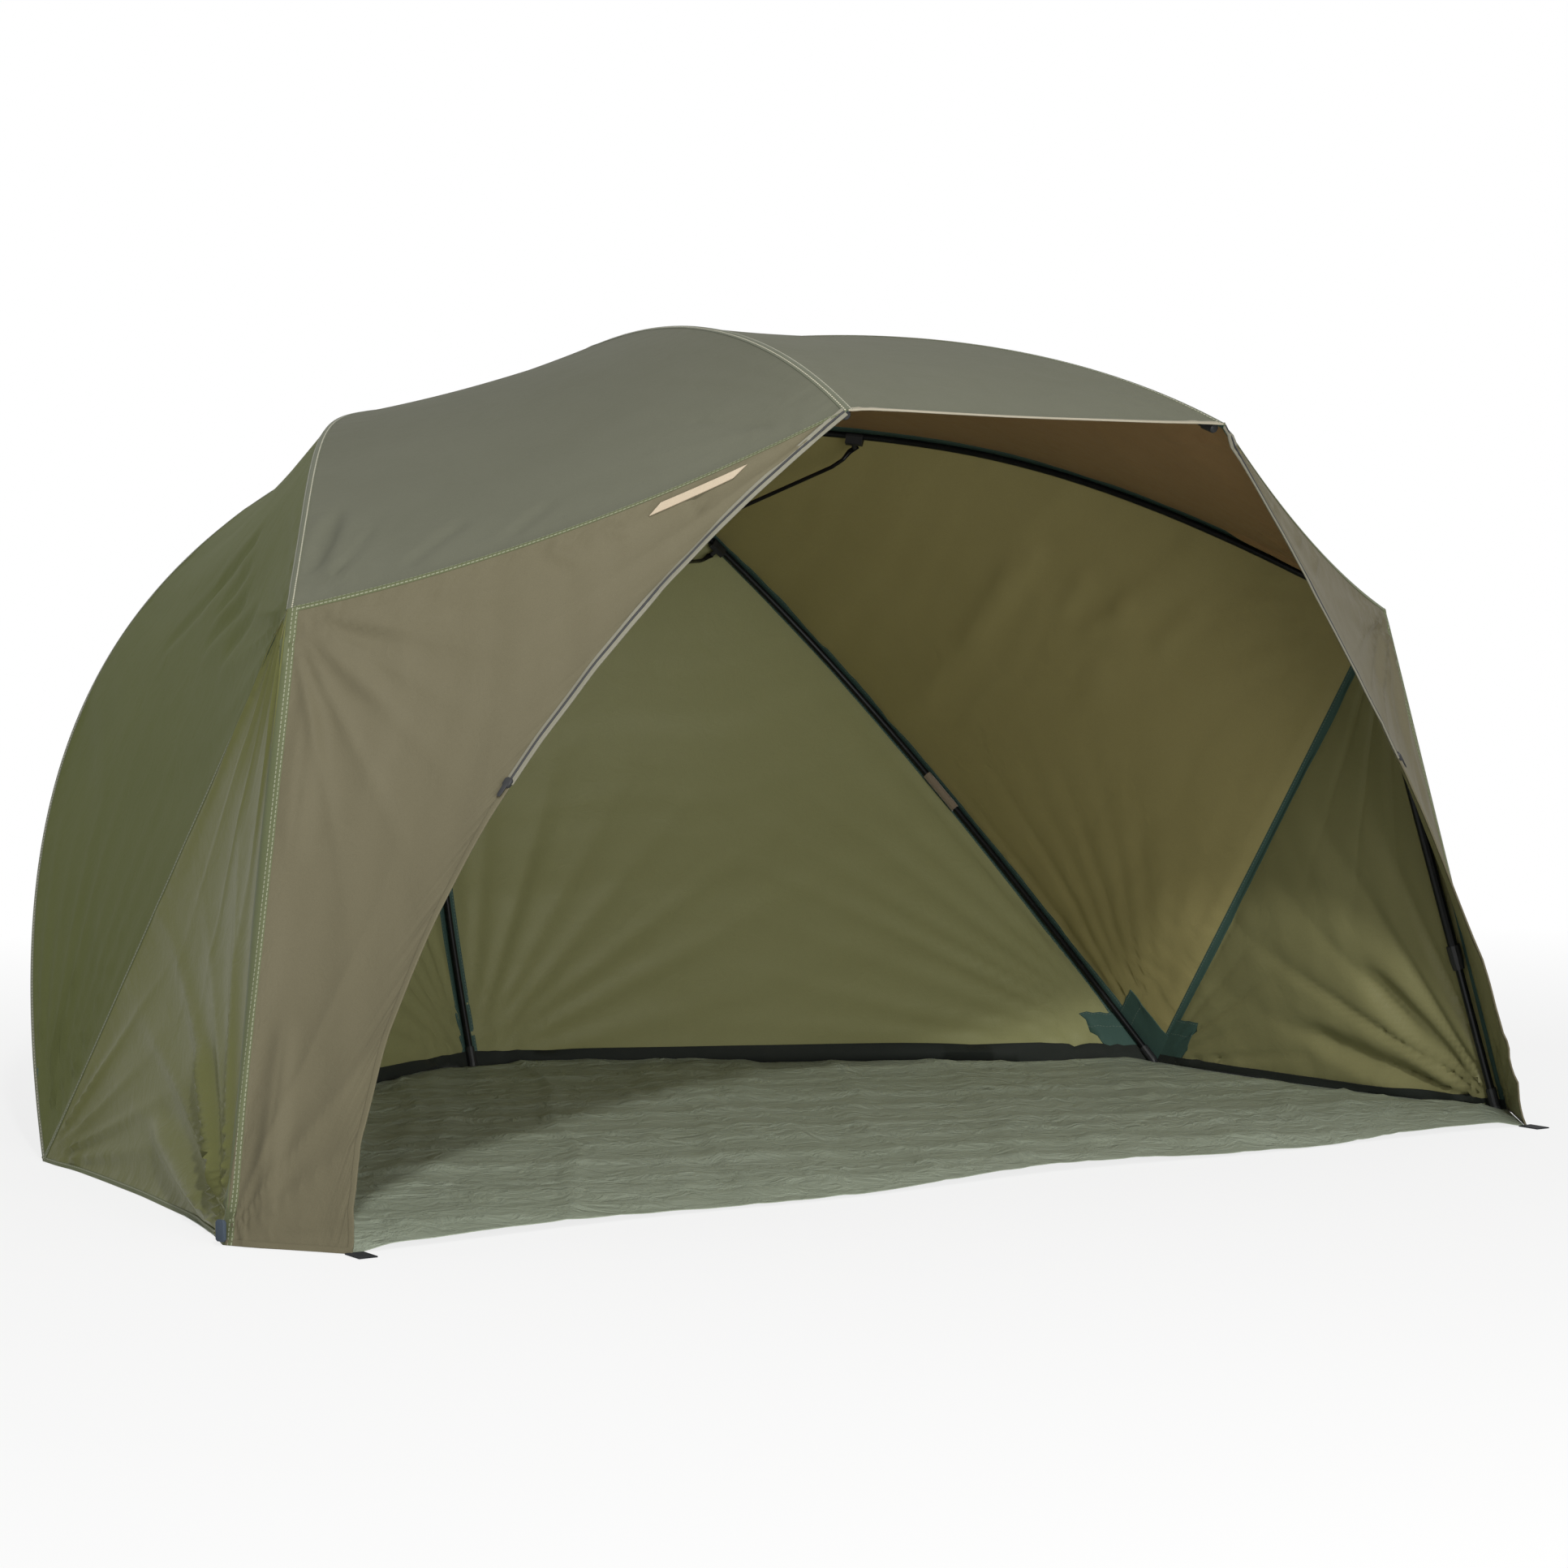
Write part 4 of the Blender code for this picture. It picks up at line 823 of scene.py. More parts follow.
class Nodes:
    """Adds and links nodes in one tree."""

    def __init__(self, tree: bpy.types.NodeTree) -> None:
        """Takes the tree that the nodes go to."""
        self.tree = tree

    def add(self, kind: str, inputs: dict | None = None, **settings: object) -> bpy.types.Node:
        """A node with its settings and inputs.

        Args:
            kind: Blender's name of the node.
            inputs: values or sockets by input name or number.
            settings: node properties.

        Returns:
            The node.
        """
        node = self.tree.nodes.new(kind)
        for key, value in settings.items():
            setattr(node, key, value)
        self.feed(node, inputs or {})
        return node

    def feed(self, node: bpy.types.Node, inputs: dict) -> None:
        """Sets or links a node's inputs.

        Args:
            node: the node.
            inputs: values or sockets by input name or number.
        """
        for key, value in inputs.items():
            if isinstance(value, bpy.types.NodeSocket):
                self.tree.links.new(value, node.inputs[key])
            else:
                node.inputs[key].default_value = value

    def math(self, operation: str, first: object, second: object = 0.0, clamp: bool = False) -> bpy.types.NodeSocket:
        """Result of a sum."""
        node = self.add("ShaderNodeMath", {0: first, 1: second}, operation=operation, use_clamp=clamp)
        return node.outputs[0]

    def seen(self) -> bpy.types.NodeSocket:
        """Mask of the rays that show the background.

        Returns:
            One for camera, glossy and transmission rays, else zero.
        """
        path = self.add("ShaderNodeLightPath")
        direct = self.math("MAXIMUM", path.outputs["Is Camera Ray"], path.outputs["Is Glossy Ray"])
        return self.math("MAXIMUM", direct, path.outputs["Is Transmission Ray"])

    def blend(self, factor: object, first: object, second: object, mode: str = "MIX") -> bpy.types.NodeSocket:
        """Mix of two colours.

        Args:
            factor: share of the second colour.
            first: first colour.
            second: second colour.
            mode: how they mix.

        Returns:
            The mixed colour.
        """
        node = self.add("ShaderNodeMix", data_type="RGBA", blend_type=mode)
        for socket, value in ((node.inputs[0], factor), (node.inputs[6], first), (node.inputs[7], second)):
            if isinstance(value, bpy.types.NodeSocket):
                self.tree.links.new(value, socket)
            elif isinstance(value, tuple):
                socket.default_value = (*value, 1.0)[:4]
            else:
                socket.default_value = value
        return node.outputs[2]

    def noise(self, vector: object, scale: float, detail: float = 3.0,
              roughness: float = 0.55) -> bpy.types.NodeSocket:
        """Soft noise between 0 and 1."""
        inputs = {"Vector": vector, "Scale": scale, "Detail": detail, "Roughness": roughness}
        return self.add("ShaderNodeTexNoise", inputs).outputs["Fac"]

    def remap(self, value: object, low: float, high: float, to_low: float = 0.0,
              to_high: float = 1.0) -> bpy.types.NodeSocket:
        """Value stretched to another range."""
        node = self.add("ShaderNodeMapRange", {0: value, 1: low, 2: high, 3: to_low, 4: to_high})
        return node.outputs[0]


def new_group(name: str, inputs: dict, outputs: dict) -> tuple[bpy.types.NodeTree, Nodes, dict, bpy.types.Node]:
    """An empty shader node group.

    Args:
        name: name of the group.
        inputs: socket kinds, with a start value, by name.
        outputs: socket kinds by name.

    Returns:
        The tree, its node builder, its input sockets by name and its output node.
    """
    tree = bpy.data.node_groups.new(name, "ShaderNodeTree")
    for label, (kind, value) in inputs.items():
        socket = tree.interface.new_socket(label, in_out="INPUT", socket_type=kind)
        if value is not None:
            socket.default_value = value
    for label, kind in outputs.items():
        tree.interface.new_socket(label, in_out="OUTPUT", socket_type=kind)
    nodes = Nodes(tree)
    entry = nodes.add("NodeGroupInput")
    leave = nodes.add("NodeGroupOutput")
    return tree, nodes, {label: entry.outputs[label] for label in inputs}, leave


def new_material(name: str) -> tuple[bpy.types.Material, Nodes, bpy.types.Node]:
    """A material that is still plain.

    Args:
        name: name of the material.

    Returns:
        The material, its node builder and its shader.
    """
    material = bpy.data.materials.new(name)
    material.use_nodes = True
    nodes = Nodes(material.node_tree)
    return material, nodes, nodes.tree.nodes["Principled BSDF"]


def weave_group() -> bpy.types.NodeTree:
    """Group that gives the thread pattern and the crumple of coated cloth.

    Returns:
        The group.
    """
    tree, nodes, given, leave = new_group(
        "woven_cloth",
        {"Vector": ("NodeSocketVector", None), "Thread Pitch": ("NodeSocketFloat", 0.0012),
         "Crumple": ("NodeSocketFloat", 0.5), "Crumple Size": ("NodeSocketFloat", 14.0)},
        {"Height": "NodeSocketFloat", "Threads": "NodeSocketFloat", "Crumple Mask": "NodeSocketFloat"})
    pitch = nodes.math("DIVIDE", 1.0, given["Thread Pitch"])
    fine = nodes.add("ShaderNodeVectorMath", {0: given["Vector"], "Scale": pitch}, operation="SCALE")
    grain = nodes.add("ShaderNodeTexVoronoi", {"Vector": fine.outputs[0], "Scale": 1.0}, distance="CHEBYCHEV")
    threads = nodes.math("SUBTRACT", 1.0, grain.outputs["Distance"], clamp=True)
    crumple = nodes.add("ShaderNodeTexNoise", {"Vector": given["Vector"], "Scale": given["Crumple Size"],
                                               "Detail": 4.0, "Roughness": 0.6, "Distortion": 0.6})
    ridges = nodes.math("ABSOLUTE", nodes.math("SUBTRACT", crumple.outputs["Fac"], 0.5))
    mask = nodes.math("MULTIPLY", nodes.math("SUBTRACT", 0.5, ridges), given["Crumple"])
    height = nodes.math("ADD", nodes.math("MULTIPLY", threads, THREAD_HEIGHT), mask)
    nodes.feed(leave, {"Height": height, "Threads": threads, "Crumple Mask": mask})
    return tree


def pucker_group() -> bpy.types.NodeTree:
    """Group that gathers cloth along a seam, from (distance from the seam, distance along it).

    Returns:
        The group.
    """
    tree, nodes, given, leave = new_group(
        "seam_puckers",
        {"Vector": ("NodeSocketVector", None), "Pitch": ("NodeSocketFloat", 0.022),
         "Reach": ("NodeSocketFloat", 0.035)},
        {"Height": "NodeSocketFloat"})
    parts = nodes.add("ShaderNodeSeparateXYZ", {0: given["Vector"]})
    away = nodes.math("DIVIDE", parts.outputs[0], given["Reach"])
    fade = nodes.math("EXPONENT", nodes.math("MULTIPLY", away, -1.0))
    spot = nodes.add("ShaderNodeCombineXYZ", {0: nodes.math("MULTIPLY", away, PUCKER_STRETCH),
                                              1: nodes.math("DIVIDE", parts.outputs[1], given["Pitch"])})
    wave = nodes.noise(spot.outputs[0], 0.55, 2.0, 0.5)
    height = nodes.math("MULTIPLY", nodes.math("SUBTRACT", wave, 0.5), fade)
    nodes.feed(leave, {"Height": height})
    return tree


def mottle_group() -> bpy.types.NodeTree:
    """Group that varies a colour as sun, dust and handling do.

    Returns:
        The group.
    """
    tree, nodes, given, leave = new_group(
        "faded_colour",
        {"Vector": ("NodeSocketVector", None), "Colour": ("NodeSocketColor", (0.5, 0.5, 0.5, 1.0)),
         "Worn Colour": ("NodeSocketColor", (0.6, 0.6, 0.6, 1.0)), "Amount": ("NodeSocketFloat", 0.3),
         "Size": ("NodeSocketFloat", 3.0), "Grain": ("NodeSocketFloat", 0.15)},
        {"Colour": "NodeSocketColor", "Worn": "NodeSocketFloat"})
    patches = nodes.add("ShaderNodeTexNoise", {"Vector": given["Vector"], "Scale": given["Size"], "Detail": 5.0,
                                               "Roughness": 0.65})
    worn = nodes.math("MULTIPLY", nodes.remap(patches.outputs["Fac"], *FADE_RANGE), given["Amount"])
    specks = nodes.noise(given["Vector"], SPECK_SCALE, 1.0)
    light = nodes.math("MULTIPLY", nodes.math("SUBTRACT", specks, 0.5), given["Grain"])
    base = nodes.blend(worn, given["Colour"], given["Worn Colour"])
    shade = nodes.add("ShaderNodeHueSaturation", {"Color": base, "Value": nodes.math("ADD", 1.0, light)})
    nodes.feed(leave, {"Colour": shade.outputs[0], "Worn": worn})
    return tree


def stitch_group() -> bpy.types.NodeTree:
    """Group that marks rows of stitches along a sewn band.

    Returns:
        The group.
    """
    tree, nodes, given, leave = new_group(
        "stitch_rows",
        {"Vector": ("NodeSocketVector", None), "Pitch": ("NodeSocketFloat", 0.007),
         "Row A": ("NodeSocketFloat", 0.003), "Row B": ("NodeSocketFloat", 0.009),
         "Thread Width": ("NodeSocketFloat", 0.0018)},
        {"Stitch": "NodeSocketFloat"})
    parts = nodes.add("ShaderNodeSeparateXYZ", {0: given["Vector"]})
    cycle = nodes.math("FRACT", nodes.math("DIVIDE", parts.outputs[0], given["Pitch"]))
    dash = nodes.math("LESS_THAN", cycle, STITCH_SHARE)
    rows = []
    for label in ("Row A", "Row B"):
        off = nodes.math("ABSOLUTE", nodes.math("SUBTRACT", parts.outputs[1], given[label]))
        rows.append(nodes.math("LESS_THAN", off, nodes.math("DIVIDE", given["Thread Width"], 2.0)))
    both = nodes.math("MAXIMUM", rows[0], rows[1])
    nodes.feed(leave, {"Stitch": nodes.math("MULTIPLY", both, dash)})
    return tree


def wear_group() -> bpy.types.NodeTree:
    """Group that scuffs hard surfaces.

    Returns:
        The group.
    """
    tree, nodes, given, leave = new_group(
        "hard_wear",
        {"Vector": ("NodeSocketVector", None), "Amount": ("NodeSocketFloat", 0.4),
         "Colour": ("NodeSocketColor", (0.02, 0.02, 0.02, 1.0)),
         "Scuffed": ("NodeSocketColor", (0.1, 0.1, 0.1, 1.0)), "Roughness": ("NodeSocketFloat", 0.4)},
        {"Colour": "NodeSocketColor", "Roughness": "NodeSocketFloat", "Height": "NodeSocketFloat"})
    patches = nodes.noise(given["Vector"], SCUFF_SCALE, 5.0, 0.7)
    scratches = nodes.noise(given["Vector"], SCRATCH_SCALE, 2.0, 0.6)
    mask = nodes.math("MULTIPLY", nodes.remap(patches, *SCUFF_RANGE), nodes.remap(scratches, *SCRATCH_RANGE))
    worn = nodes.math("MULTIPLY", mask, given["Amount"], clamp=True)
    colour = nodes.blend(worn, given["Colour"], given["Scuffed"])
    rough = nodes.math("ADD", given["Roughness"], nodes.math("MULTIPLY", patches, SCUFF_ROUGHNESS), clamp=True)
    grain = nodes.noise(given["Vector"], HARD_GRAIN_SCALE, 2.0)
    nodes.feed(leave, {"Colour": colour, "Roughness": rough, "Height": grain})
    return tree


class Effects:
    """The shader node groups that the finishes share."""

    def __init__(self) -> None:
        """Builds each group once."""
        self.weave = weave_group()
        self.pucker = pucker_group()
        self.mottle = mottle_group()
        self.stitch = stitch_group()
        self.wear = wear_group()


@dataclass(frozen=True)
class Cloth:
    """Finish of a coated or woven cloth."""

    name: str
    colour: Colour
    worn: Colour
    roughness: float = 0.62
    sheen: float = 0.02
    gloss: float = 0.15
    thread_pitch: float = 1.1 * MM
    crumple: float = 2.0
    crumple_size: float = 14.0
    seam_pull: float = 0.0
    mottle: float = 0.35
    mottle_size: float = 3.0
    grain: float = 0.30
    thread: Colour | None = None
    rows: tuple[float, float] = (3.0 * MM, 9.0 * MM)
    stitch_height: float = 0.5
    roughness_spread: float = 0.06
    sheen_roughness: float = 0.45
    bump_depth: float = 1.0 * MM

    def make(self, effects: Effects) -> bpy.types.Material:
        """Builds the material.

        Args:
            effects: shared node groups.

        Returns:
            The finished material.
        """
        material, nodes, shader = new_material(self.name)
        where = nodes.add("ShaderNodeTexCoord").outputs["Object"]
        weave = nodes.add("ShaderNodeGroup", {
            "Vector": where, "Thread Pitch": self.thread_pitch, "Crumple": self.crumple,
            "Crumple Size": self.crumple_size}, node_tree=effects.weave)
        mottle = nodes.add("ShaderNodeGroup", {
            "Vector": where, "Colour": (*self.colour, 1.0), "Worn Colour": (*self.worn, 1.0), "Amount": self.mottle,
            "Size": self.mottle_size, "Grain": self.grain}, node_tree=effects.mottle)
        colour = mottle.outputs["Colour"]
        height = weave.outputs["Height"]
        if self.thread is not None:
            unwrapped = nodes.add("ShaderNodeUVMap", uv_map="UVMap").outputs[0]
            stitch = nodes.add("ShaderNodeGroup", {"Vector": unwrapped, "Row A": self.rows[0], "Row B": self.rows[1]},
                               node_tree=effects.stitch).outputs["Stitch"]
            colour = nodes.blend(stitch, colour, self.thread)
            height = nodes.math("ADD", height, nodes.math("MULTIPLY", stitch, self.stitch_height))
        if self.seam_pull:
            for layer in ("Seams", "Hems"):
                unwrapped = nodes.add("ShaderNodeUVMap", uv_map=layer).outputs[0]
                pucker = nodes.add("ShaderNodeGroup", {"Vector": unwrapped}, node_tree=effects.pucker)
                height = nodes.math("ADD", height, nodes.math("MULTIPLY", pucker.outputs[0], self.seam_pull))
        rough = nodes.remap(weave.outputs["Crumple Mask"], 0.0, 0.5 * self.crumple,
                            self.roughness + self.roughness_spread, self.roughness - self.roughness_spread)
        bump = nodes.add("ShaderNodeBump", {"Strength": 1.0, "Distance": self.bump_depth, "Height": height})
        nodes.feed(shader, {
            "Base Color": colour, "Roughness": rough, "Normal": bump.outputs[0], "Sheen Weight": self.sheen,
            "Sheen Roughness": self.sheen_roughness, "Specular IOR Level": self.gloss})
        return material


@dataclass(frozen=True)
class Hard:
    """Finish of a tube, moulding or wire."""

    name: str
    colour: Colour
    scuffed: Colour
    roughness: float
    metallic: float = 0.0
    wear: float = 0.5
    bump: float = 0.08
    bump_depth: float = 0.3 * MM

    def make(self, effects: Effects) -> bpy.types.Material:
        """Builds the material.

        Args:
            effects: shared node groups.

        Returns:
            The finished material.
        """
        material, nodes, shader = new_material(self.name)
        where = nodes.add("ShaderNodeTexCoord").outputs["Object"]
        wear = nodes.add("ShaderNodeGroup", {
            "Vector": where, "Colour": (*self.colour, 1.0), "Scuffed": (*self.scuffed, 1.0),
            "Roughness": self.roughness, "Amount": self.wear}, node_tree=effects.wear)
        bump = nodes.add("ShaderNodeBump", {"Strength": self.bump, "Distance": self.bump_depth,
                                            "Height": wear.outputs["Height"]})
        nodes.feed(shader, {"Base Color": wear.outputs["Colour"], "Roughness": wear.outputs["Roughness"],
                            "Normal": bump.outputs[0], "Metallic": self.metallic})
        return material


ROOF_CLOTH = Cloth("roof_cloth", (0.170, 0.173, 0.126), (0.198, 0.201, 0.150), roughness=0.7, gloss=0.02,
                   seam_pull=6.0)
WALL_CLOTH = Cloth("wall_cloth", (0.133, 0.148, 0.054), (0.157, 0.172, 0.070), roughness=0.65, gloss=0.02,
                   seam_pull=6.0)
WING_CLOTH = Cloth("wing_cloth", (0.151, 0.135, 0.084), (0.175, 0.157, 0.102), gloss=0.08, seam_pull=6.0)
INFILL_CLOTH = Cloth("infill_cloth", (0.158, 0.164, 0.058), (0.186, 0.191, 0.076), roughness=0.40, gloss=0.07,
                     seam_pull=6.0)
# The linings keep the inner coating's brown and olive hue, painted lighter panel by panel to stand in for light
# shining through the cloth.
ROOF_LINING = Cloth("roof_lining", (0.285, 0.168, 0.072), (0.325, 0.198, 0.092), roughness=0.5, seam_pull=5.0)
SIDE_LINING = Cloth("side_lining", (0.366, 0.314, 0.134), (0.408, 0.353, 0.160), roughness=0.45, seam_pull=5.0)
BACK_LINING = Cloth("back_lining", (0.295, 0.296, 0.138), (0.332, 0.332, 0.166), roughness=0.5, seam_pull=5.0)
INFILL_LINING = Cloth("infill_lining", (0.250, 0.238, 0.110), (0.286, 0.272, 0.134), roughness=0.45, seam_pull=5.0)
FLOOR_CLOTH = Cloth("floor_cloth", (0.335, 0.380, 0.290), (0.388, 0.432, 0.345), roughness=0.42, crumple=15.0,
                    crumple_size=15.0, mottle=0.5, mottle_size=2.0)
SEAM_CLOTH = Cloth("seam_cloth", (0.150, 0.160, 0.108), (0.180, 0.188, 0.130), crumple=0.4,
                   thread=(0.74, 0.70, 0.54), rows=(3.6 * MM, 14.6 * MM))
SIDE_SEAM_CLOTH = Cloth("side_seam_cloth", (0.125, 0.140, 0.070), (0.155, 0.168, 0.092), crumple=0.4,
                        thread=(0.32, 0.33, 0.23), rows=(3.0 * MM, 10.0 * MM))
GREEN_TAPE = Cloth("green_tape", (0.050, 0.098, 0.082), (0.075, 0.130, 0.108), roughness=0.7, crumple=1.0,
                   thread=(0.125, 0.180, 0.150), rows=(4.0 * MM, 40.0 * MM))
BEIGE_BINDING = Cloth("beige_binding", (0.400, 0.365, 0.275), (0.470, 0.430, 0.335), roughness=0.8, crumple=0.4)
GREY_BINDING = Cloth("grey_binding", (0.235, 0.225, 0.172), (0.290, 0.278, 0.220), roughness=0.8, crumple=0.4)
# Near-black cloth: the skirts' own colour on the infills, and painted shade on the strip at the foot of the back
# covers.
SKIRT_AND_SHADE_CLOTH = Cloth("skirt_and_shade_cloth", (0.022, 0.026, 0.022), (0.040, 0.044, 0.038), roughness=0.8, crumple=1.0)
STRAP_TAPE = Cloth("strap_tape", (0.520, 0.430, 0.310), (0.600, 0.510, 0.380), roughness=0.85, crumple=0.4,
                   thread=(0.30, 0.24, 0.17), rows=(4.0 * MM, 24.0 * MM))
HOOK_TAPE = Cloth("hook_tape", (0.230, 0.180, 0.125), (0.280, 0.225, 0.165), roughness=0.95, crumple=0.4,
                  sheen=0.5)
BLUE_WEBBING = Cloth("blue_webbing", (0.060, 0.080, 0.105), (0.100, 0.120, 0.145), roughness=0.75, crumple=0.2)
BLACK_WEBBING = Cloth("black_webbing", (0.016, 0.018, 0.021), (0.035, 0.037, 0.040), roughness=0.8, crumple=0.2)
BLACK_TUBE = Hard("black_tube", (0.010, 0.011, 0.012), (0.060, 0.060, 0.060), 0.34, 0.55)
BLACK_MOULDING = Hard("black_moulding", (0.014, 0.015, 0.016), (0.055, 0.055, 0.055), 0.48)
BARE_WIRE = Hard("bare_wire", (0.480, 0.480, 0.470), (0.300, 0.280, 0.250), 0.28, 1.0)
FRAME_LOOKS: dict[str, Cloth | Hard] = {
    "stretcher_": BLACK_TUBE, "leg_outer_": BLACK_TUBE, "leg_inner_": BLACK_TUBE, "hub_ring": BARE_WIRE,
    "runner_ring": BARE_WIRE, "elbow_pin_": BARE_WIRE, "crown_hub": BLACK_MOULDING, "runner": BLACK_MOULDING,
    "crown_cap": BLACK_MOULDING, "saddle_": BLACK_MOULDING, "tip_cap_": BLACK_MOULDING,
    "foot_": BLACK_MOULDING, "elbow_": BLACK_MOULDING, "leg_clamp_": BLACK_MOULDING,
    "leg_foot_": BLACK_MOULDING, "peg_tab_": BLACK_WEBBING, "storage_strap": STRAP_TAPE,
    "rib_tab_": HOOK_TAPE,
}


class Finishes:
    """Every material, made when a piece first asks for it."""

    def __init__(self) -> None:
        """Starts with the shared effects and no material."""
        self.effects = Effects()
        self.made: dict[str, bpy.types.Material] = {}

    def of(self, finish: Cloth | Hard) -> bpy.types.Material:
        """The material of a finish, made at its first use.

        Args:
            finish: the finish.

        Returns:
            Its one material.
        """
        if finish.name not in self.made:
            self.made[finish.name] = finish.make(self.effects)
        return self.made[finish.name]

    def dress(self, piece: bpy.types.Object, *finishes: Cloth | Hard) -> None:
        """Puts one material for each slot on a piece.

        Args:
            piece: a piece or a node of the solid model.
            finishes: its finishes in order.
        """
        if len(piece.data.materials):
            piece.data.materials.clear()
        for finish in finishes:
            piece.data.materials.append(self.of(finish))


@dataclass
class Workshop:
    """What every sub-assembly needs to make its pieces."""

    shelter: Shelter = field(default_factory=Shelter)
    finishes: Finishes = field(default_factory=Finishes)
    folds: dict[str, Fold] = field(default_factory=dict)

    def finish(self, piece: bpy.types.Object, slot: Slot, *finishes: Cloth | Hard) -> bpy.types.Object:
        """Dresses a piece and reports it.

        Args:
            piece: the piece.
            slot: not used.
            finishes: its finishes in order.

        Returns:
            The piece.
        """
        self.finishes.dress(piece, *finishes)
        LOG.info("%s: %d faces", piece.name, len(piece.data.polygons))
        return piece

    def sew_on(self, piece: bpy.types.Object, slot: Slot, look: Cloth | Hard, cover: str) -> None:
        """Dresses a piece and lets it ride on the body of the cover that it is sewn to."""
        self.folds[cover].carry(self.finish(piece, slot, look))


@dataclass
class Covers:
    """The eleven cloth panels of the roof, walls, wings and infills."""

    shop: Workshop
    steps: int = MESH_STEPS
    slack: Slack = Slack(0.010, 0.004, 0.018, 0.018)
    leg_lean_deg: float = 8.0
    panels: dict[str, Cover] = field(init=False)

    def __post_init__(self) -> None:
        """Lays out every panel at the mesh's own steps."""
        self.panels = self.lay_out(self.shop.shelter.lines(self.steps), self.slack)

    def lay_out(self, lines: dict[str, np.ndarray], slack: Slack) -> dict[str, Cover]:
        """All the panels between a set of lines, without folds.

        Args:
            lines: seams and edges by name.
            slack: how far the gores hang inward.

        Returns:
            Panels by name.
        """
        s = self.shop.shelter
        sides = {Edge.LEFT, Edge.RIGHT}
        around = sides | {Edge.BOTTOM}
        made = [self.gore("roof_front_cover", lines, ("front_left", "front_right", "roof_hem"), sides,
                          2.0 * s.front_tip[0] * slack.front)]
        for side in Side:
            tag = side.value
            top = lines[f"roof_seam_{tag}"][::-1]
            elbow = np.repeat(s.corner("elbow", side)[None], len(top), axis=0)
            made += [
                self.gore(f"roof_side_cover_{tag}", lines, (f"front_{tag}", f"side_{tag}", f"roof_seam_{tag}"),
                          around, s.elbow[0] * slack.roof),
                self.gore(f"side_cover_{tag}", lines, (f"side_{tag}", f"back_corner_{tag}", f"side_seam_{tag}"),
                          around, s.back_corner[1] * slack.side),
                self.gore(f"back_cover_{tag}", lines, (f"back_corner_{tag}", "back_middle", f"back_hem_{tag}"),
                          sides, s.back_corner[0] * slack.back),
                Cover(f"front_wing_{tag}", lines, (f"leg_{tag}", f"opening_{tag}", top, f"wing_hem_{tag}"),
                      {Edge.LEFT, Edge.TOP}, 0.0),
                Cover(f"side_infill_{tag}", lines, (f"leg_{tag}", f"side_seam_{tag}", elbow, f"infill_hem_{tag}"),
                      sides, 0.0)]
        return {panel.name: panel for panel in made}

    def gore(self, name: str, lines: dict[str, np.ndarray], edges: tuple[str, str, str], sewn: set[Edge],
             sag: float) -> Cover:
        """A panel that hangs from the crown hole.

        Args:
            name: node that the panel stands for.
            lines: seams and edges by name.
            edges: names of its left, right and bottom lines.
            sewn: edges that are joined to another cover.
            sag: how far the middle hangs inward, in metres.

        Returns:
            The panel.
        """
        left, right, hem = edges
        share = np.linspace(0.0, 1.0, len(lines[left]))[:, None]
        top = lines[left][0] + (lines[right][0] - lines[left][0]) * share
        return Cover(name, lines, (left, right, top, hem), sewn, sag)

    def fold_up(self) -> None:
        """Works out how each panel gathers as the umbrella closes."""
        folds = {"roof_front_cover": (Edge.RIGHT, "rib_front_right", 0.0)}
        for side in Side:
            tag = side.value
            folds[f"roof_side_cover_{tag}"] = (Edge.RIGHT, f"rib_side_{tag}", 0.0)
            folds[f"side_cover_{tag}"] = (Edge.RIGHT, f"rib_back_corner_{tag}", 0.0)
            folds[f"back_cover_{tag}"] = (Edge.LEFT, f"rib_back_corner_{tag}", 0.0)
            folds[f"front_wing_{tag}"] = (Edge.LEFT, f"leg_{tag}", self.leg_lean_deg)
            folds[f"side_infill_{tag}"] = (Edge.LEFT, f"leg_{tag}", self.leg_lean_deg)
        for name, (edge, body, lean) in folds.items():
            self.shop.folds[name] = self.panels[name].gathers(edge, body, lean)

    def crease(self) -> None:
        """Adds the creases, puckers and drag lines of the stretched cloth."""
        s = self.shop.shelter
        for seed, side in enumerate(Side):
            tip = s.corner("front_tip", side)
            elbow = s.corner("elbow", side)
            corner = s.corner("back_corner", side)
            foot = s.corner("foot", side)
            peg = s.corner("peg_corner", side)
            back = place(*s.back_middle)
            crown = place(*s.crown)
            panels = self.panels
            tag = side.value
            roof = panels[f"roof_side_cover_{tag}"]
            roof.dress([
                Fan(elbow, crown, tip, 7.0, 8.0 * MM, 0.05, 0.22, seed + 1.0),
                Fan(tip, crown, elbow, 6.0, 6.0 * MM, 0.05, 0.36, seed + 2.0),
                roof.tuck((0.97, 0.95), (0.93, 0.80), 13.0, -12.0, 6.0),
                roof.tuck((0.93, 0.96), (0.84, 0.86), 11.0, -8.0, -5.0),
                roof.tuck((0.80, 0.97), (0.66, 0.91), 12.0, -7.0),
                roof.tuck((0.62, 0.98), (0.50, 0.93), 12.0, -6.0),
                roof.tuck((0.10, 0.97), (0.24, 0.86), 12.0, -7.0),
                Ripple(elbow - tip, 0.09, 0.5, 2.0 * MM, seed + 3.0)])
            wall = panels[f"side_cover_{tag}"]
            wall.dress([
                Fan(corner, elbow, crown, 7.0, 14.0 * MM, 0.14, 0.42, seed + 4.0),
                Fan(elbow, corner, crown, 6.0, 11.0 * MM, 0.05, 0.36, seed + 5.0),
                wall.tuck((0.20, 0.625), (0.43, 0.604), 24.0, -11.0),
                wall.tuck((0.35, 0.615), (0.60, 0.594), 24.0, -8.0),
                wall.tuck((0.22, 0.75), (0.39, 0.708), 23.0, -11.0),
                wall.tuck((0.16, 0.823), (0.30, 0.792), 23.0, -9.0),
                wall.tuck((0.21, 0.69), (0.36, 0.68), 22.0, -8.0),
                Ripple(place(0.0, 0.62, -0.78), 0.085, 0.42, 6.0 * MM, seed + 6.0)])
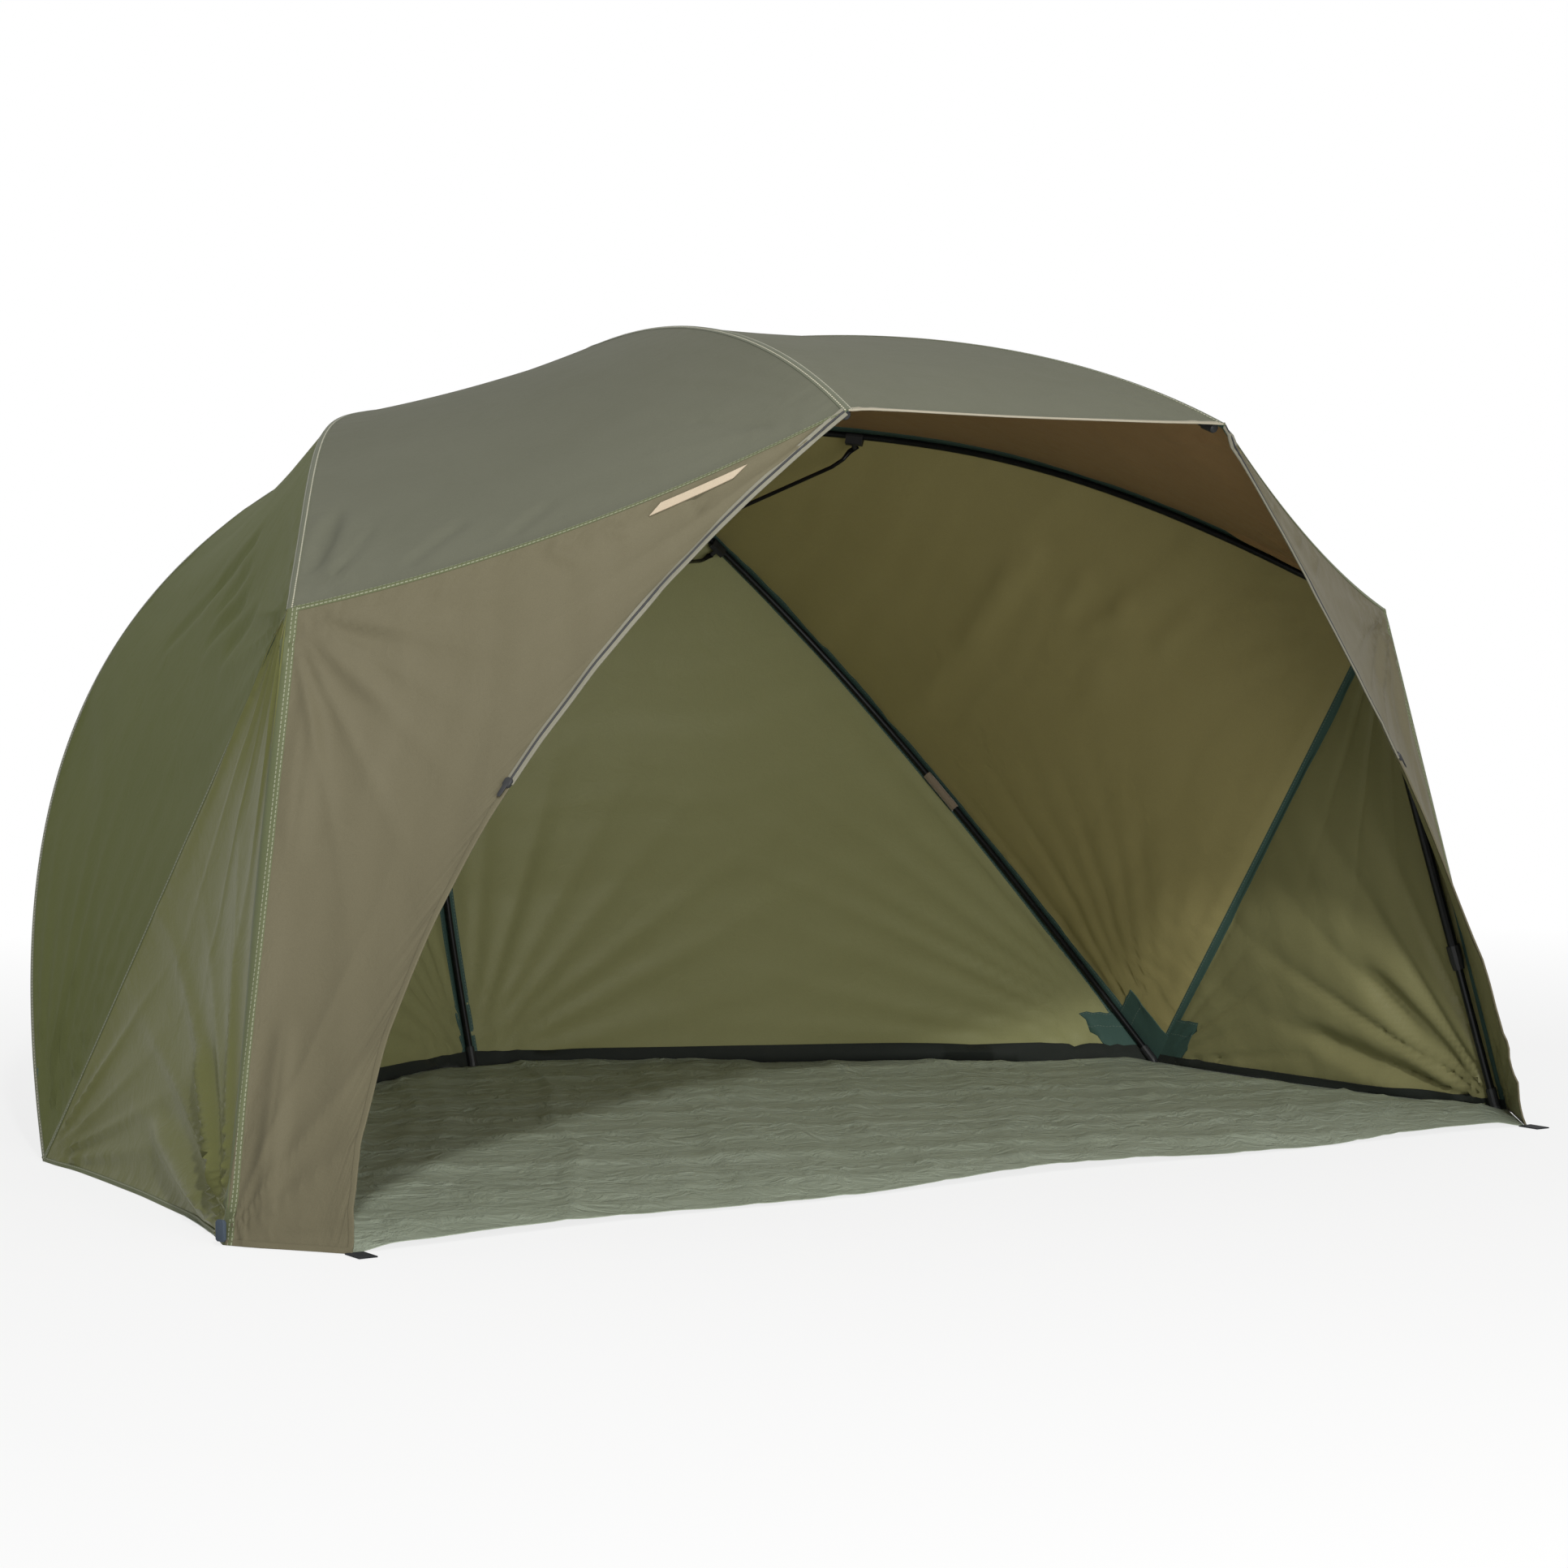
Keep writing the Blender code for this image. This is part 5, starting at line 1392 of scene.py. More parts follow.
            panels[f"back_cover_{tag}"].dress([
                Fan(corner, back, crown, 8.0, 24.0 * MM, 0.16, 0.55, seed + 7.0),
                Fan(back, corner, crown, 7.0, 20.0 * MM, 0.06, 0.45, seed + 8.0),
                Ripple(corner - back, 0.12, 0.6, 3.0 * MM, seed + 9.0)])
            wing = panels[f"front_wing_{tag}"]
            wing.dress([
                Fan(elbow, foot, tip, 7.0, 14.0 * MM, 0.04, 0.30, seed + 10.0),
                Fan(foot, peg, elbow, 5.0, 10.0 * MM, 0.05, 0.60, seed + 11.0),
                Fan(tip, peg, elbow, 5.0, 8.0 * MM, 0.05, 0.42, seed + 12.0),
                wing.tuck((0.04, 0.02), (0.36, 0.10), 13.0, 9.0, 8.0),
                wing.tuck((0.05, 0.05), (0.28, 0.22), 16.0, 9.0, 6.0),
                wing.tuck((0.46, 0.01), (0.62, 0.10), 11.0, 8.0),
                wing.tuck((0.56, 0.01), (0.70, 0.08), 10.0, 7.0),
                wing.tuck((0.74, 0.02), (0.86, 0.10), 10.0, -6.0),
                wing.tuck((0.06, 0.10), (0.10, 0.46), 18.0, 8.0, 10.0),
                wing.tuck((0.30, 0.98), (0.22, 0.66), 16.0, 8.0, 6.0),
                Ripple(elbow - foot, 0.12, 0.7, 3.0 * MM, seed + 13.0)])
            infill = panels[f"side_infill_{tag}"]
            infill.dress([
                Fan(foot, corner, elbow, 6.0, 26.0 * MM, 0.06, 0.48, seed + 14.0),
                Fan(corner, foot, elbow, 5.0, 15.0 * MM, 0.14, 0.34, seed + 15.0),
                Fan(elbow, foot, corner, 4.0, 8.0 * MM, 0.05, 0.45, seed + 16.0),
                infill.tuck((0.06, 0.96), (0.42, 0.72), 20.0, 20.0, 14.0),
                infill.tuck((0.10, 0.99), (0.60, 0.86), 18.0, 18.0, 12.0),
                Ripple(elbow - foot, 0.09, 0.5, 4.0 * MM, seed + 17.0)])
        tips = (s.corner("front_tip", Side.LEFT), s.corner("front_tip", Side.RIGHT))
        self.panels["roof_front_cover"].dress([
            Fan(tips[0], tips[1], place(*s.crown), 5.0, 5.0 * MM, 0.04, 0.25, 31.0),
            Fan(tips[1], tips[0], place(*s.crown), 5.0, 5.0 * MM, 0.04, 0.25, 32.0),
            Ripple(place(1.0, 0.0, 0.0), 0.10, 0.4, 1.6 * MM, 33.0)])

    def build(self) -> None:
        """Makes every panel as a closed sheet with its lining."""
        self.fold_up()
        self.crease()
        looks = {"roof": (Slot.ROOF, ROOF_CLOTH, ROOF_LINING),
                 "side_cover": (Slot.WALL, WALL_CLOTH, SIDE_LINING),
                 "back_cover": (Slot.WALL, WALL_CLOTH, BACK_LINING),
                 "front_wing": (Slot.WING, WING_CLOTH, INFILL_LINING),
                 "side_infill": (Slot.WALL, INFILL_CLOTH, INFILL_LINING)}
        for name, panel in self.panels.items():
            slot, outer, lining = next(look for start, look in looks.items() if name.startswith(start))
            piece = self.shop.finish(self.sheet(panel), slot, outer, lining)
            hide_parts(name)
            self.shop.folds[name].carry(piece)
            panel.cut()
            panel.area()

    def sheet(self, panel: Cover) -> bpy.types.Object:
        """The closed mesh of a panel.

        Args:
            panel: the panel.

        Returns:
            The piece, with its outer skin in slot 0 and its inner skin in slot 1.
        """
        inner = above_ground(panel.grid - panel.normals() * self.shop.shelter.cover_thickness)
        flat = flat_uvs(panel.grid)
        across = flat[..., 0]
        down = flat[..., 1]
        beside = np.minimum(across, across[:, -1:] - across)
        over = np.minimum(down, down[-1:] - down)
        layers = {"Seams": np.stack((beside, down), axis=-1), "Hems": np.stack((over, across), axis=-1)}
        piece = plate(f"{panel.name}_cloth", panel.grid, inner, layers)
        slots = np.zeros(len(piece.data.polygons), dtype=np.int32)
        slots[1:panel.steps * panel.steps * 2:2] = 1
        piece.data.polygons.foreach_set("material_index", slots)
        return piece


@dataclass(frozen=True)
class Rim:
    """An edge of a cover, and whether a line along it starts at the edge's other end."""

    panel: str
    edge: Edge
    backwards: bool = False


@dataclass
class Seams:
    """Sewn bands over the seams, tapes inside them, and the bindings of the free edges."""

    shop: Workshop
    covers: Covers
    shoulder_share: float = 0.93
    flank_share: float = 0.5
    underside_share: float = 0.9
    centre_rise_share: float = 1.2
    band_sink: float = 0.3 * MM
    rib_band_half: float = 9.0 * MM
    rib_band_rise: float = 1.3 * MM
    rib_tape_half: float = 22.0 * MM
    panel_band_half: float = 6.0 * MM
    leg_band_half: float = 17.0 * MM
    panel_band_rise: float = 1.0 * MM
    panel_tape_half: float = 11.0 * MM
    tape_rise: float = 0.8 * MM
    binding_half: float = 5.0 * MM
    binding_rise: float = 0.9 * MM
    binding_corner: float = 1.2 * MM
    binding_inset_share: float = 0.8
    zip_share: float = 0.515
    zip_inset: float = 6.0 * MM
    zip_half: float = 7.5 * MM
    teeth_inset: float = 6.5 * MM
    teeth_radii: tuple[float, float] = (1.9 * MM, 2.2 * MM)
    teeth_sides: int = 10
    teeth_rise_share: float = 0.3
    hem_inset: float = 4.0 * MM
    hem_half: float = 4.5 * MM
    slider_half: float = 8.0 * MM
    slider_rise: float = 2.0 * MM
    slider_stations: tuple[float, ...] = (-1.0, -0.6, 0.6, 1.0)
    slider_widths: tuple[float, ...] = (0.55, 1.0, 1.0, 0.7)
    slider_box: tuple[float, float, float] = (6.5 * MM, 3.5 * MM, 1.5 * MM)
    pull_box: tuple[float, float, float] = (4.0 * MM, 1.2 * MM, 0.8 * MM)
    pull_stations: tuple[float, ...] = (2.0, 4.0, 24.0, 26.0)
    pull_widths: tuple[float, ...] = (0.6, 1.0, 0.8, 0.5)
    pull_rise: float = 4.5 * MM

    def beside(self, rim: Rim, inset: float, lift: float) -> np.ndarray:
        """Line beside a cover's edge."""
        return self.covers.panels[rim.panel].run(rim.edge, inset, lift, rim.backwards)

    def band(self, name: str, first: Rim, second: Rim, half: float, rise: float,
             inside: bool = False) -> bpy.types.Object:
        """A sewn band that lies over two covers.

        Args:
            name: name of the piece.
            first: edge of one cover.
            second: edge of the other cover.
            half: half of the band's width.
            rise: height of the band over the cloth.
            inside: whether it lies inside the shelter.

        Returns:
            The band, a closed strip.
        """
        skin = -self.shop.shelter.cover_thickness if inside else 0.0
        sign = -1.0 if inside else 1.0
        low = skin - sign * self.band_sink
        high = skin + sign * rise
        insets = ((half, skin), (half * self.shoulder_share, high), (half * self.flank_share, high))
        rising = [self.beside(first, inset, lift) for inset, lift in insets]
        falling = [self.beside(second, inset, lift) for inset, lift in insets[::-1]]
        centre, floor = [(self.beside(first, 0.0, lift) + self.beside(second, 0.0, lift)) / 2.0
                         for lift in (skin + sign * rise * self.centre_rise_share, low)]
        bottoms = [self.beside(rim, half * self.underside_share, low) for rim in (second, first)]
        rings = np.stack([*rising, centre, *falling, bottoms[0], floor, bottoms[1]], axis=1)
        return loft(name, above_ground(rings), smooth_angle_deg=BAND_ANGLE_DEG)

    def build(self) -> None:
        """Makes all the seams, tapes and bindings."""
        shop = self.shop
        ribs = []
        for side in Side:
            tag = side.value
            front = Rim("roof_front_cover", Edge.LEFT if side is Side.LEFT else Edge.RIGHT)
            roof = f"roof_side_cover_{tag}"
            wall = f"side_cover_{tag}"
            back = f"back_cover_{tag}"
            wing = f"front_wing_{tag}"
            infill = f"side_infill_{tag}"
            ribs += [(f"front_{tag}", front, Rim(roof, Edge.LEFT)),
                     (f"side_{tag}", Rim(roof, Edge.RIGHT), Rim(wall, Edge.LEFT)),
                     (f"back_corner_{tag}", Rim(wall, Edge.RIGHT), Rim(back, Edge.LEFT))]
            sewn = [("roof_seam", Rim(roof, Edge.BOTTOM), Rim(wing, Edge.TOP, True), roof, self.panel_band_half),
                    ("side_seam", Rim(wall, Edge.BOTTOM), Rim(infill, Edge.RIGHT), wall, self.panel_band_half),
                    ("leg_seam", Rim(wing, Edge.LEFT), Rim(infill, Edge.LEFT), infill, self.leg_band_half)]
            for kind, first, second, owner, half in sewn:
                outer = self.band(f"{kind}_{tag}", first, second, half, self.panel_band_rise)
                shop.sew_on(outer, Slot.WALL, SIDE_SEAM_CLOTH, owner)
                tape = self.band(f"{kind}_tape_{tag}", first, second, self.panel_tape_half, self.tape_rise, True)
                shop.sew_on(tape, Slot.WALL, GREEN_TAPE, owner)
        ribs.append(("back_middle", Rim("back_cover_left", Edge.RIGHT), Rim("back_cover_right", Edge.RIGHT)))
        for name, first, second in ribs:
            outer = self.band(f"rib_seam_{name}", first, second, self.rib_band_half, self.rib_band_rise)
            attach(shop.finish(outer, Slot.ROOF, SEAM_CLOTH), f"rib_{name}")
            tape = self.band(f"rib_tape_{name}", first, second, self.rib_tape_half, self.tape_rise, True)
            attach(shop.finish(tape, Slot.WALL, GREEN_TAPE), f"rib_{name}")
        self.bind()

    def bind(self) -> None:
        """Bindings of the roof's front edge, the opening and the hems."""
        shop = self.shop
        half = self.binding_half
        edges = [("roof_front_binding", "roof_front_cover", Slot.TAPE, BEIGE_BINDING)]
        for side in Side:
            tag = side.value
            edges.append((f"wing_hem_{tag}", f"front_wing_{tag}", Slot.WING, WING_CLOTH))
            edges.append((f"infill_hem_{tag}", f"side_infill_{tag}", Slot.WALL, SIDE_SEAM_CLOTH))
            edges.append((f"back_hem_{tag}", f"back_cover_{tag}", Slot.WALL, SIDE_SEAM_CLOTH))
        thickness = shop.shelter.cover_thickness
        for name, panel, slot, look in edges:
            cover = self.covers.panels[panel]
            up = unit(cover.run(Edge.BOTTOM, half, 1.0) - cover.run(Edge.BOTTOM, half, 0.0))
            line = cover.run(Edge.BOTTOM, half * self.binding_inset_share, -thickness / 2.0)
            rings = swept(line, up, rounded_box(half, thickness / 2.0 + self.binding_rise, self.binding_corner))
            shop.sew_on(loft(name, above_ground(rings), smooth_angle_deg=BAND_ANGLE_DEG), slot, look, panel)
        for side in Side:
            self.door_zip(side)

    def door_zip(self, side: Side) -> None:
        """Door zip from the roof's corner down the opening, with its slider, and the hem below it.

        Args:
            side: side of the shelter.
        """
        shop = self.shop
        wing = self.covers.panels[f"front_wing_{side.value}"]
        stop = round(self.zip_share * wing.steps)
        thickness = shop.shelter.cover_thickness
        up = unit(wing.run(Edge.RIGHT, self.zip_inset, 1.0) - wing.run(Edge.RIGHT, self.zip_inset, 0.0))
        line = wing.run(Edge.RIGHT, self.zip_inset, -thickness / 2.0)
        teeth = wing.run(Edge.RIGHT, self.teeth_inset, thickness * self.teeth_rise_share)
        hem = wing.run(Edge.RIGHT, self.hem_inset, -thickness / 2.0)
        half = thickness / 2.0 + self.binding_rise
        tape_outline = rounded_box(self.zip_half, half, self.binding_corner)
        hem_outline = rounded_box(self.hem_half, half, self.binding_corner)
        parts = [("zip_tape", line[:stop + 1], up[:stop + 1], tape_outline, Slot.TAPE, GREY_BINDING),
                 ("zip_teeth", teeth[:stop + 1], up[:stop + 1], oval(*self.teeth_radii, self.teeth_sides),
                  Slot.PLASTIC, BLACK_MOULDING),
                 ("opening_hem", hem[stop:], up[stop:], hem_outline, Slot.WING, WING_CLOTH)]
        for label, centre, upright, outline, slot, look in parts:
            rings = above_ground(swept(centre, upright, outline))
            shop.sew_on(loft(f"{label}_{side.value}", rings, smooth_angle_deg=BAND_ANGLE_DEG), slot, look, wing.name)
        ahead = unit(teeth[stop + 1] - teeth[stop - 1])
        slider = ("zip_slider", up[stop] * self.slider_rise, self.slider_half, self.slider_stations,
                  self.slider_widths, self.slider_box)
        pull = ("zip_pull", up[stop] * self.pull_rise, MM, self.pull_stations, self.pull_widths, self.pull_box)
        for label, lift, step, stations, widths, box in (slider, pull):
            line = np.array([teeth[stop] + lift + ahead * station * step for station in stations])
            outlines = rounded_box(*box) * np.array(widths)[:, None, None]
            piece = loft(f"{label}_{side.value}", swept(line, up[stop], outlines))
            shop.sew_on(piece, Slot.PLASTIC, BLACK_MOULDING, wing.name)


@dataclass
class Trimmings:
    """Skirts on the infills, a near-black strip of painted shade at the foot of the back covers, corner patches and
    foot clips sewn to the covers.
    """

    shop: Workshop
    covers: Covers
    patch_rise: float = 2.2 * MM
    patch_sink: float = 0.2 * MM
    clip_stand_off: float = 5.0 * MM
    clip_heights: tuple[float, ...] = (6.0, 9.0, 34.0, 38.0)
    clip_box: tuple[float, float, float] = (9.0 * MM, 3.5 * MM, 2.0 * MM)
    clip_widths: tuple[float, ...] = (0.7, 1.0, 1.0, 0.7)
    clip_way: Place = (1.0, -0.35, 0.0)

    def sew(self, name: str, panel: str, across: tuple[int, int], down: tuple[int, int], look: Cloth) -> None:
        """A piece of cloth sewn flat on the inside of a cover.

        Args:
            name: name of the piece.
            panel: cover that it is sewn to.
            across: first and last part of the PATCH_PARTS across the cover.
            down: first and last part of the PATCH_PARTS down the cover.
            look: its finish.
        """
        cover = self.covers.panels[panel]
        skin = -self.shop.shelter.cover_thickness
        far = above_ground(cover.patch(across, down, skin - self.patch_rise))
        near = above_ground(cover.patch(across, down, skin + self.patch_sink))
        self.shop.sew_on(plate(name, far, near), Slot.WALL, look, panel)

    def build(self) -> None:
        """Makes the pieces on both sides."""
        whole = (0, PATCH_PARTS)
        hem = (PATCH_PARTS - 1, PATCH_PARTS)
        sewn = [("infill_skirt", "side_infill", whole, hem, SKIRT_AND_SHADE_CLOTH),
                # Near-black strip at the foot of each back cover: painted shade where the wall meets the floor.
                ("back_painted_shade", "back_cover", whole, hem, SKIRT_AND_SHADE_CLOTH),
                ("corner_patch_side", "side_cover", (45, 48), (45, 48), GREEN_TAPE),
                ("corner_patch_infill", "side_infill", (44, 48), (43, 47), GREEN_TAPE),
                ("corner_patch_back", "back_cover", (0, 3), (45, 47), GREEN_TAPE)]
        for side in Side:
            tag = side.value
            for kind, cover, across, down, look in sewn:
                self.sew(f"{kind}_{tag}", f"{cover}_{tag}", across, down, look)
            out = on_side(unit(place(*self.clip_way)), side)
            base = self.shop.shelter.corner("foot", side) + out * self.clip_stand_off
            line = np.array([base + place(0.0, 0.0, height * MM) for height in self.clip_heights])
            outlines = rounded_box(*self.clip_box) * np.array(self.clip_widths)[:, None, None]
            clip = loft(f"foot_clip_{tag}", swept(line, out, outlines))
            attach(self.shop.finish(clip, Slot.WEBBING, BLUE_WEBBING), f"leg_{tag}")


@dataclass
class RibFrame:
    """The seven ribs as smooth bars from the hub to their tips."""

    shop: Workshop
    covers: Covers
    steps: int = 10
    smoothing: int = 12
    slack: Slack = Slack(0.018, 0.018, 0.018, 0.018)
    neck: float = 24.0 * MM
    tongue_back: float = 6.0 * MM
    tongue_radii: tuple[float, float] = (3.5 * MM, 4.5 * MM)
    pairs: dict[str, tuple] = field(init=False)

    def __post_init__(self) -> None:
        """Pairs the covers beside each rib, at the frame's own steps."""
        coarse = self.covers.lay_out(self.shop.shelter.lines(self.steps), self.slack)
        backs = (coarse["back_cover_left"], Edge.RIGHT), (coarse["back_cover_right"], Edge.RIGHT)
        self.pairs = {"back_middle": backs}
        for side in Side:
            tag = side.value
            front_edge = Edge.LEFT if side is Side.LEFT else Edge.RIGHT
            roof = coarse[f"roof_side_cover_{tag}"]
            wall = coarse[f"side_cover_{tag}"]
            self.pairs[f"front_{tag}"] = ((coarse["roof_front_cover"], front_edge), (roof, Edge.LEFT))
            self.pairs[f"side_{tag}"] = ((roof, Edge.RIGHT), (wall, Edge.LEFT))
            self.pairs[f"back_corner_{tag}"] = ((wall, Edge.RIGHT), (coarse[f"back_cover_{tag}"], Edge.LEFT))

    def stations(self, name: str) -> tuple[np.ndarray, np.ndarray]:
        """Places that a rib passes.

        Args:
            name: name of its seam.

        Returns:
            Points of its centre line from the crown to the tip, and its pivot in the hub.
        """
        s = self.shop.shelter
        normals = []
        for panel, edge in self.pairs[name]:
            column = 0 if edge is Edge.LEFT else -1
            normals.append(panel.normals()[1:, column])
            seam = panel.grid[1:, column]
        outward = unit(normals[0] + normals[1])
        depth = s.cover_thickness + s.rib_room / np.sum(outward * normals[0], axis=-1)
        points = seam - outward * depth[:, None]
        end = unit(points[-1] - points[-2])
        if name.startswith("front"):
            points[-1] -= end * s.front_rib_inset
        elif name.startswith("side"):
            points[-1] -= end * s.elbow_inset
        else:
            points[-1] -= end * (s.foot_height - points[-1][2]) / -end[2]
        radial = seam[-1] - place(*s.crown)
        radial = unit(radial - s.fold_line * radial.dot(s.fold_line))
        pivot = place(*s.crown) + s.fold_line * s.hub_drop + radial * s.pivot_radius
        return points, pivot

    def build(self) -> None:
        """Makes and dresses the ribs."""
        shop = self.shop
        for name in self.pairs:
            points, pivot = self.stations(name)
            radial = unit(points[0] - pivot)
            control = np.vstack((pivot - radial * self.tongue_back, pivot, points))
            line = rounded(control, self.smoothing)
            lengths = run_lengths(line)
            share = smooth_step(lengths / self.neck)[:, None, None]
            radius = shop.shelter.rib_radius
            outline = oval(*self.tongue_radii) * (1.0 - share) + oval(radius, radius) * share
            piece = loft(f"rib_{name}_bar", swept(line, shop.shelter.fold_line, outline))
            shop.finish(piece, Slot.TUBE, BLACK_TUBE)
            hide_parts(f"rib_{name}")
            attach(piece, f"rib_{name}")


def rounded(control: np.ndarray, steps: int) -> np.ndarray:
    """A smooth line through control points.

    Args:
        control: points that the line passes.
        steps: points between each two of them.

    Returns:
        The line's points.
    """
    padded = np.vstack((2.0 * control[0] - control[1], control, 2.0 * control[-1] - control[-2]))
    result = []
    for before, start, end, after in zip(padded, padded[1:], padded[2:], padded[3:]):
        span = np.linalg.norm(end - start)
        first = (end - before) * span / (np.linalg.norm(start - before) + span)
        last = (after - start) * span / (np.linalg.norm(after - end) + span)
        for k in range(steps):
            t = k / steps
            result.append(start * (2 * t**3 - 3 * t**2 + 1) + first * (t**3 - 2 * t**2 + t)
                          + end * (3 * t**2 - 2 * t**3) + last * (t**3 - t**2))
    result.append(control[-1])
    return np.array(result)


@dataclass
class FrameNodes:
    """Finishes of the solid model's own nodes that stay."""

    shop: Workshop

    def build(self) -> None:
        """Puts each node's finish on it."""
        for name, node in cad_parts.items():
            for start, look in FRAME_LOOKS.items():
                if name.startswith(start):
                    self.shop.finishes.dress(node, look)
                    LOG.info("%s: %s", name, look.name)
                    break
        self.shop.folds["front_wing_left"].gather(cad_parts["storage_strap"])


@dataclass
class Groundsheet:
    """The floor cloth with its crinkles and hem."""

    shop: Workshop
    steps: int = MESH_STEPS
    inset: float = 2.8 * MM
    thickness: float = 1.2 * MM
    rest_height: float = 1.6 * MM
    crinkle_height: float = 7.0 * MM
    fine_height: float = 3.0 * MM
    fold_height: float = 7.0 * MM
    ridge_height: float = 6.0 * MM
    front_wave: float = 9.0 * MM
    front_draw: float = 30.0 * MM
    front_scallop: float = 14.0 * MM
    pointed_share: float = 0.93
    point_half: float = 0.02
    hem_share: float = 0.06
    front_hem_share: float = 0.05
    front_flatness: float = 0.35
    wave_reach: float = 0.25
    draw_reach: float = 0.4

    def build(self) -> None:
        """Makes the floor as one crinkled sheet."""
        front = np.linspace(-1.0, 1.0, 2 * self.steps + 1)
        rows = []
        for j in range(self.steps + 1):
            left, right = self.row_ends(j / self.steps)
            rows.append(left + (right - left) * ((front + 1.0) / 2.0)[:, None])
        grid = np.array(rows)
        x = grid[..., 0]
        y = grid[..., 1]
        u = np.broadcast_to(front, x.shape)
        v = np.broadcast_to(np.linspace(0.0, 1.0, len(grid))[:, None], x.shape)
        inside = smooth_step((1.0 - np.abs(u)) / self.hem_share) * smooth_step((1.0 - v) / self.hem_share)
        # Beside x, y and u stand the paces of the waves, in radians for each metre or share.
        crinkle = 0.5 + 0.5 * wander(x * 6.0 + 1.4 * wander(y * 5.0, 4.0), 1.0) * wander(y * 7.0 + x * 2.0, 2.0)
        fine = 0.5 + 0.5 * wander(x * 21.0 - y * 9.0 + 2.0 * wander(y * 8.0, 5.0), 3.0)
        sharp = (1.0 - np.abs(wander(x * 4.0 + y * 11.0, 6.0))) ** 3
        ridge = (1.0 - np.abs(wander(x * 9.0 - y * 5.0 + wander(x * 3.0, 8.0), 7.0))) ** 4
        lift = (self.crinkle_height * crinkle + self.fine_height * fine
                + self.fold_height * np.clip(sharp, 0.0, 1.0)
                + self.ridge_height * np.clip(ridge, 0.0, 1.0)) * inside
        front_slack = smooth_step(v / self.front_hem_share)
        waves = (0.5 + 0.5 * np.sin(u * 7.0 + 0.8)) * self.front_wave * inside
        waves = waves * (1.0 - smooth_step(v / self.wave_reach))
        top = self.rest_height + lift * (self.front_flatness + (1.0 - self.front_flatness) * front_slack) + waves
        scallop = self.front_draw + self.front_scallop * np.sin(u * 8.0 + 0.4)
        pull = (1.0 - u * u) * scallop * (1.0 - smooth_step(v / self.draw_reach))
        grid[..., 1] = y + pull
        upper = grid + top[..., None] * place(0.0, 0.0, 1.0)
        lower = above_ground(upper - place(0.0, 0.0, self.thickness))
        piece = self.shop.finish(plate("groundsheet_cloth", upper, lower), Slot.FLOOR, FLOOR_CLOTH)
        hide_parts("groundsheet")
        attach(piece, "crown")

    def outline(self) -> list[np.ndarray]:
        """Right half of the floor's outline, from the peg corner to the back."""
        s = self.shop.shelter
        return [place(*s.peg_corner), place(*s.foot), place(*s.back_corner), place(*s.back_middle)]

    def area(self) -> float:
        """Flat area of the floor.

        Returns:
            Square metres.
        """
        right = self.outline()
        total = 0.0
        for start, end in zip(right, right[1:]):
            total += (start[0] + end[0]) * (end[1] - start[1])
        return total

    def row_ends(self, share: float) -> tuple[np.ndarray, np.ndarray]:
        """Ends of one row of the floor's points.

        Args:
            share: share of the way from the front to the back.

        Returns:
            Left and right end.
        """
        s = self.shop.shelter
        corners = np.array(self.outline())
        back = s.back_middle[1]
        front = s.peg_corner[1]
        y_side = front + (back - front) * share
        x = np.interp(y_side, corners[:, 1], corners[:, 0])
        beside = min(max(y_side / s.back_corner[1], 0.0), 1.0)
        x -= s.infill_hem_bow * 4.0 * beside * (1.0 - beside)
        if share > self.pointed_share:
            x = max(x, self.point_half)
        return place(-x + self.inset, y_side, 0.0), place(x - self.inset, y_side, 0.0)


@dataclass(frozen=True)
class Lamp:
    """A round soft lamp aimed at the shelter, its power in watts."""

    name: str
    source: Place
    distance: float
    size: float
    power: float

    def hang(self, aim: Place) -> None:
        """Puts the lamp into the scene.

        Args:
            aim: place that it is turned toward.
        """
        lamp = bpy.data.lights.new(self.name, "AREA")
        lamp.shape = "DISK"
        lamp.size = self.size
        lamp.energy = self.power
        light = add_object(self.name, lamp)
        direction = Vector(self.source).normalized()
        light.location = Vector(aim) + direction * self.distance
        light.rotation_euler = direction.to_track_quat("Z", "Y").to_euler()


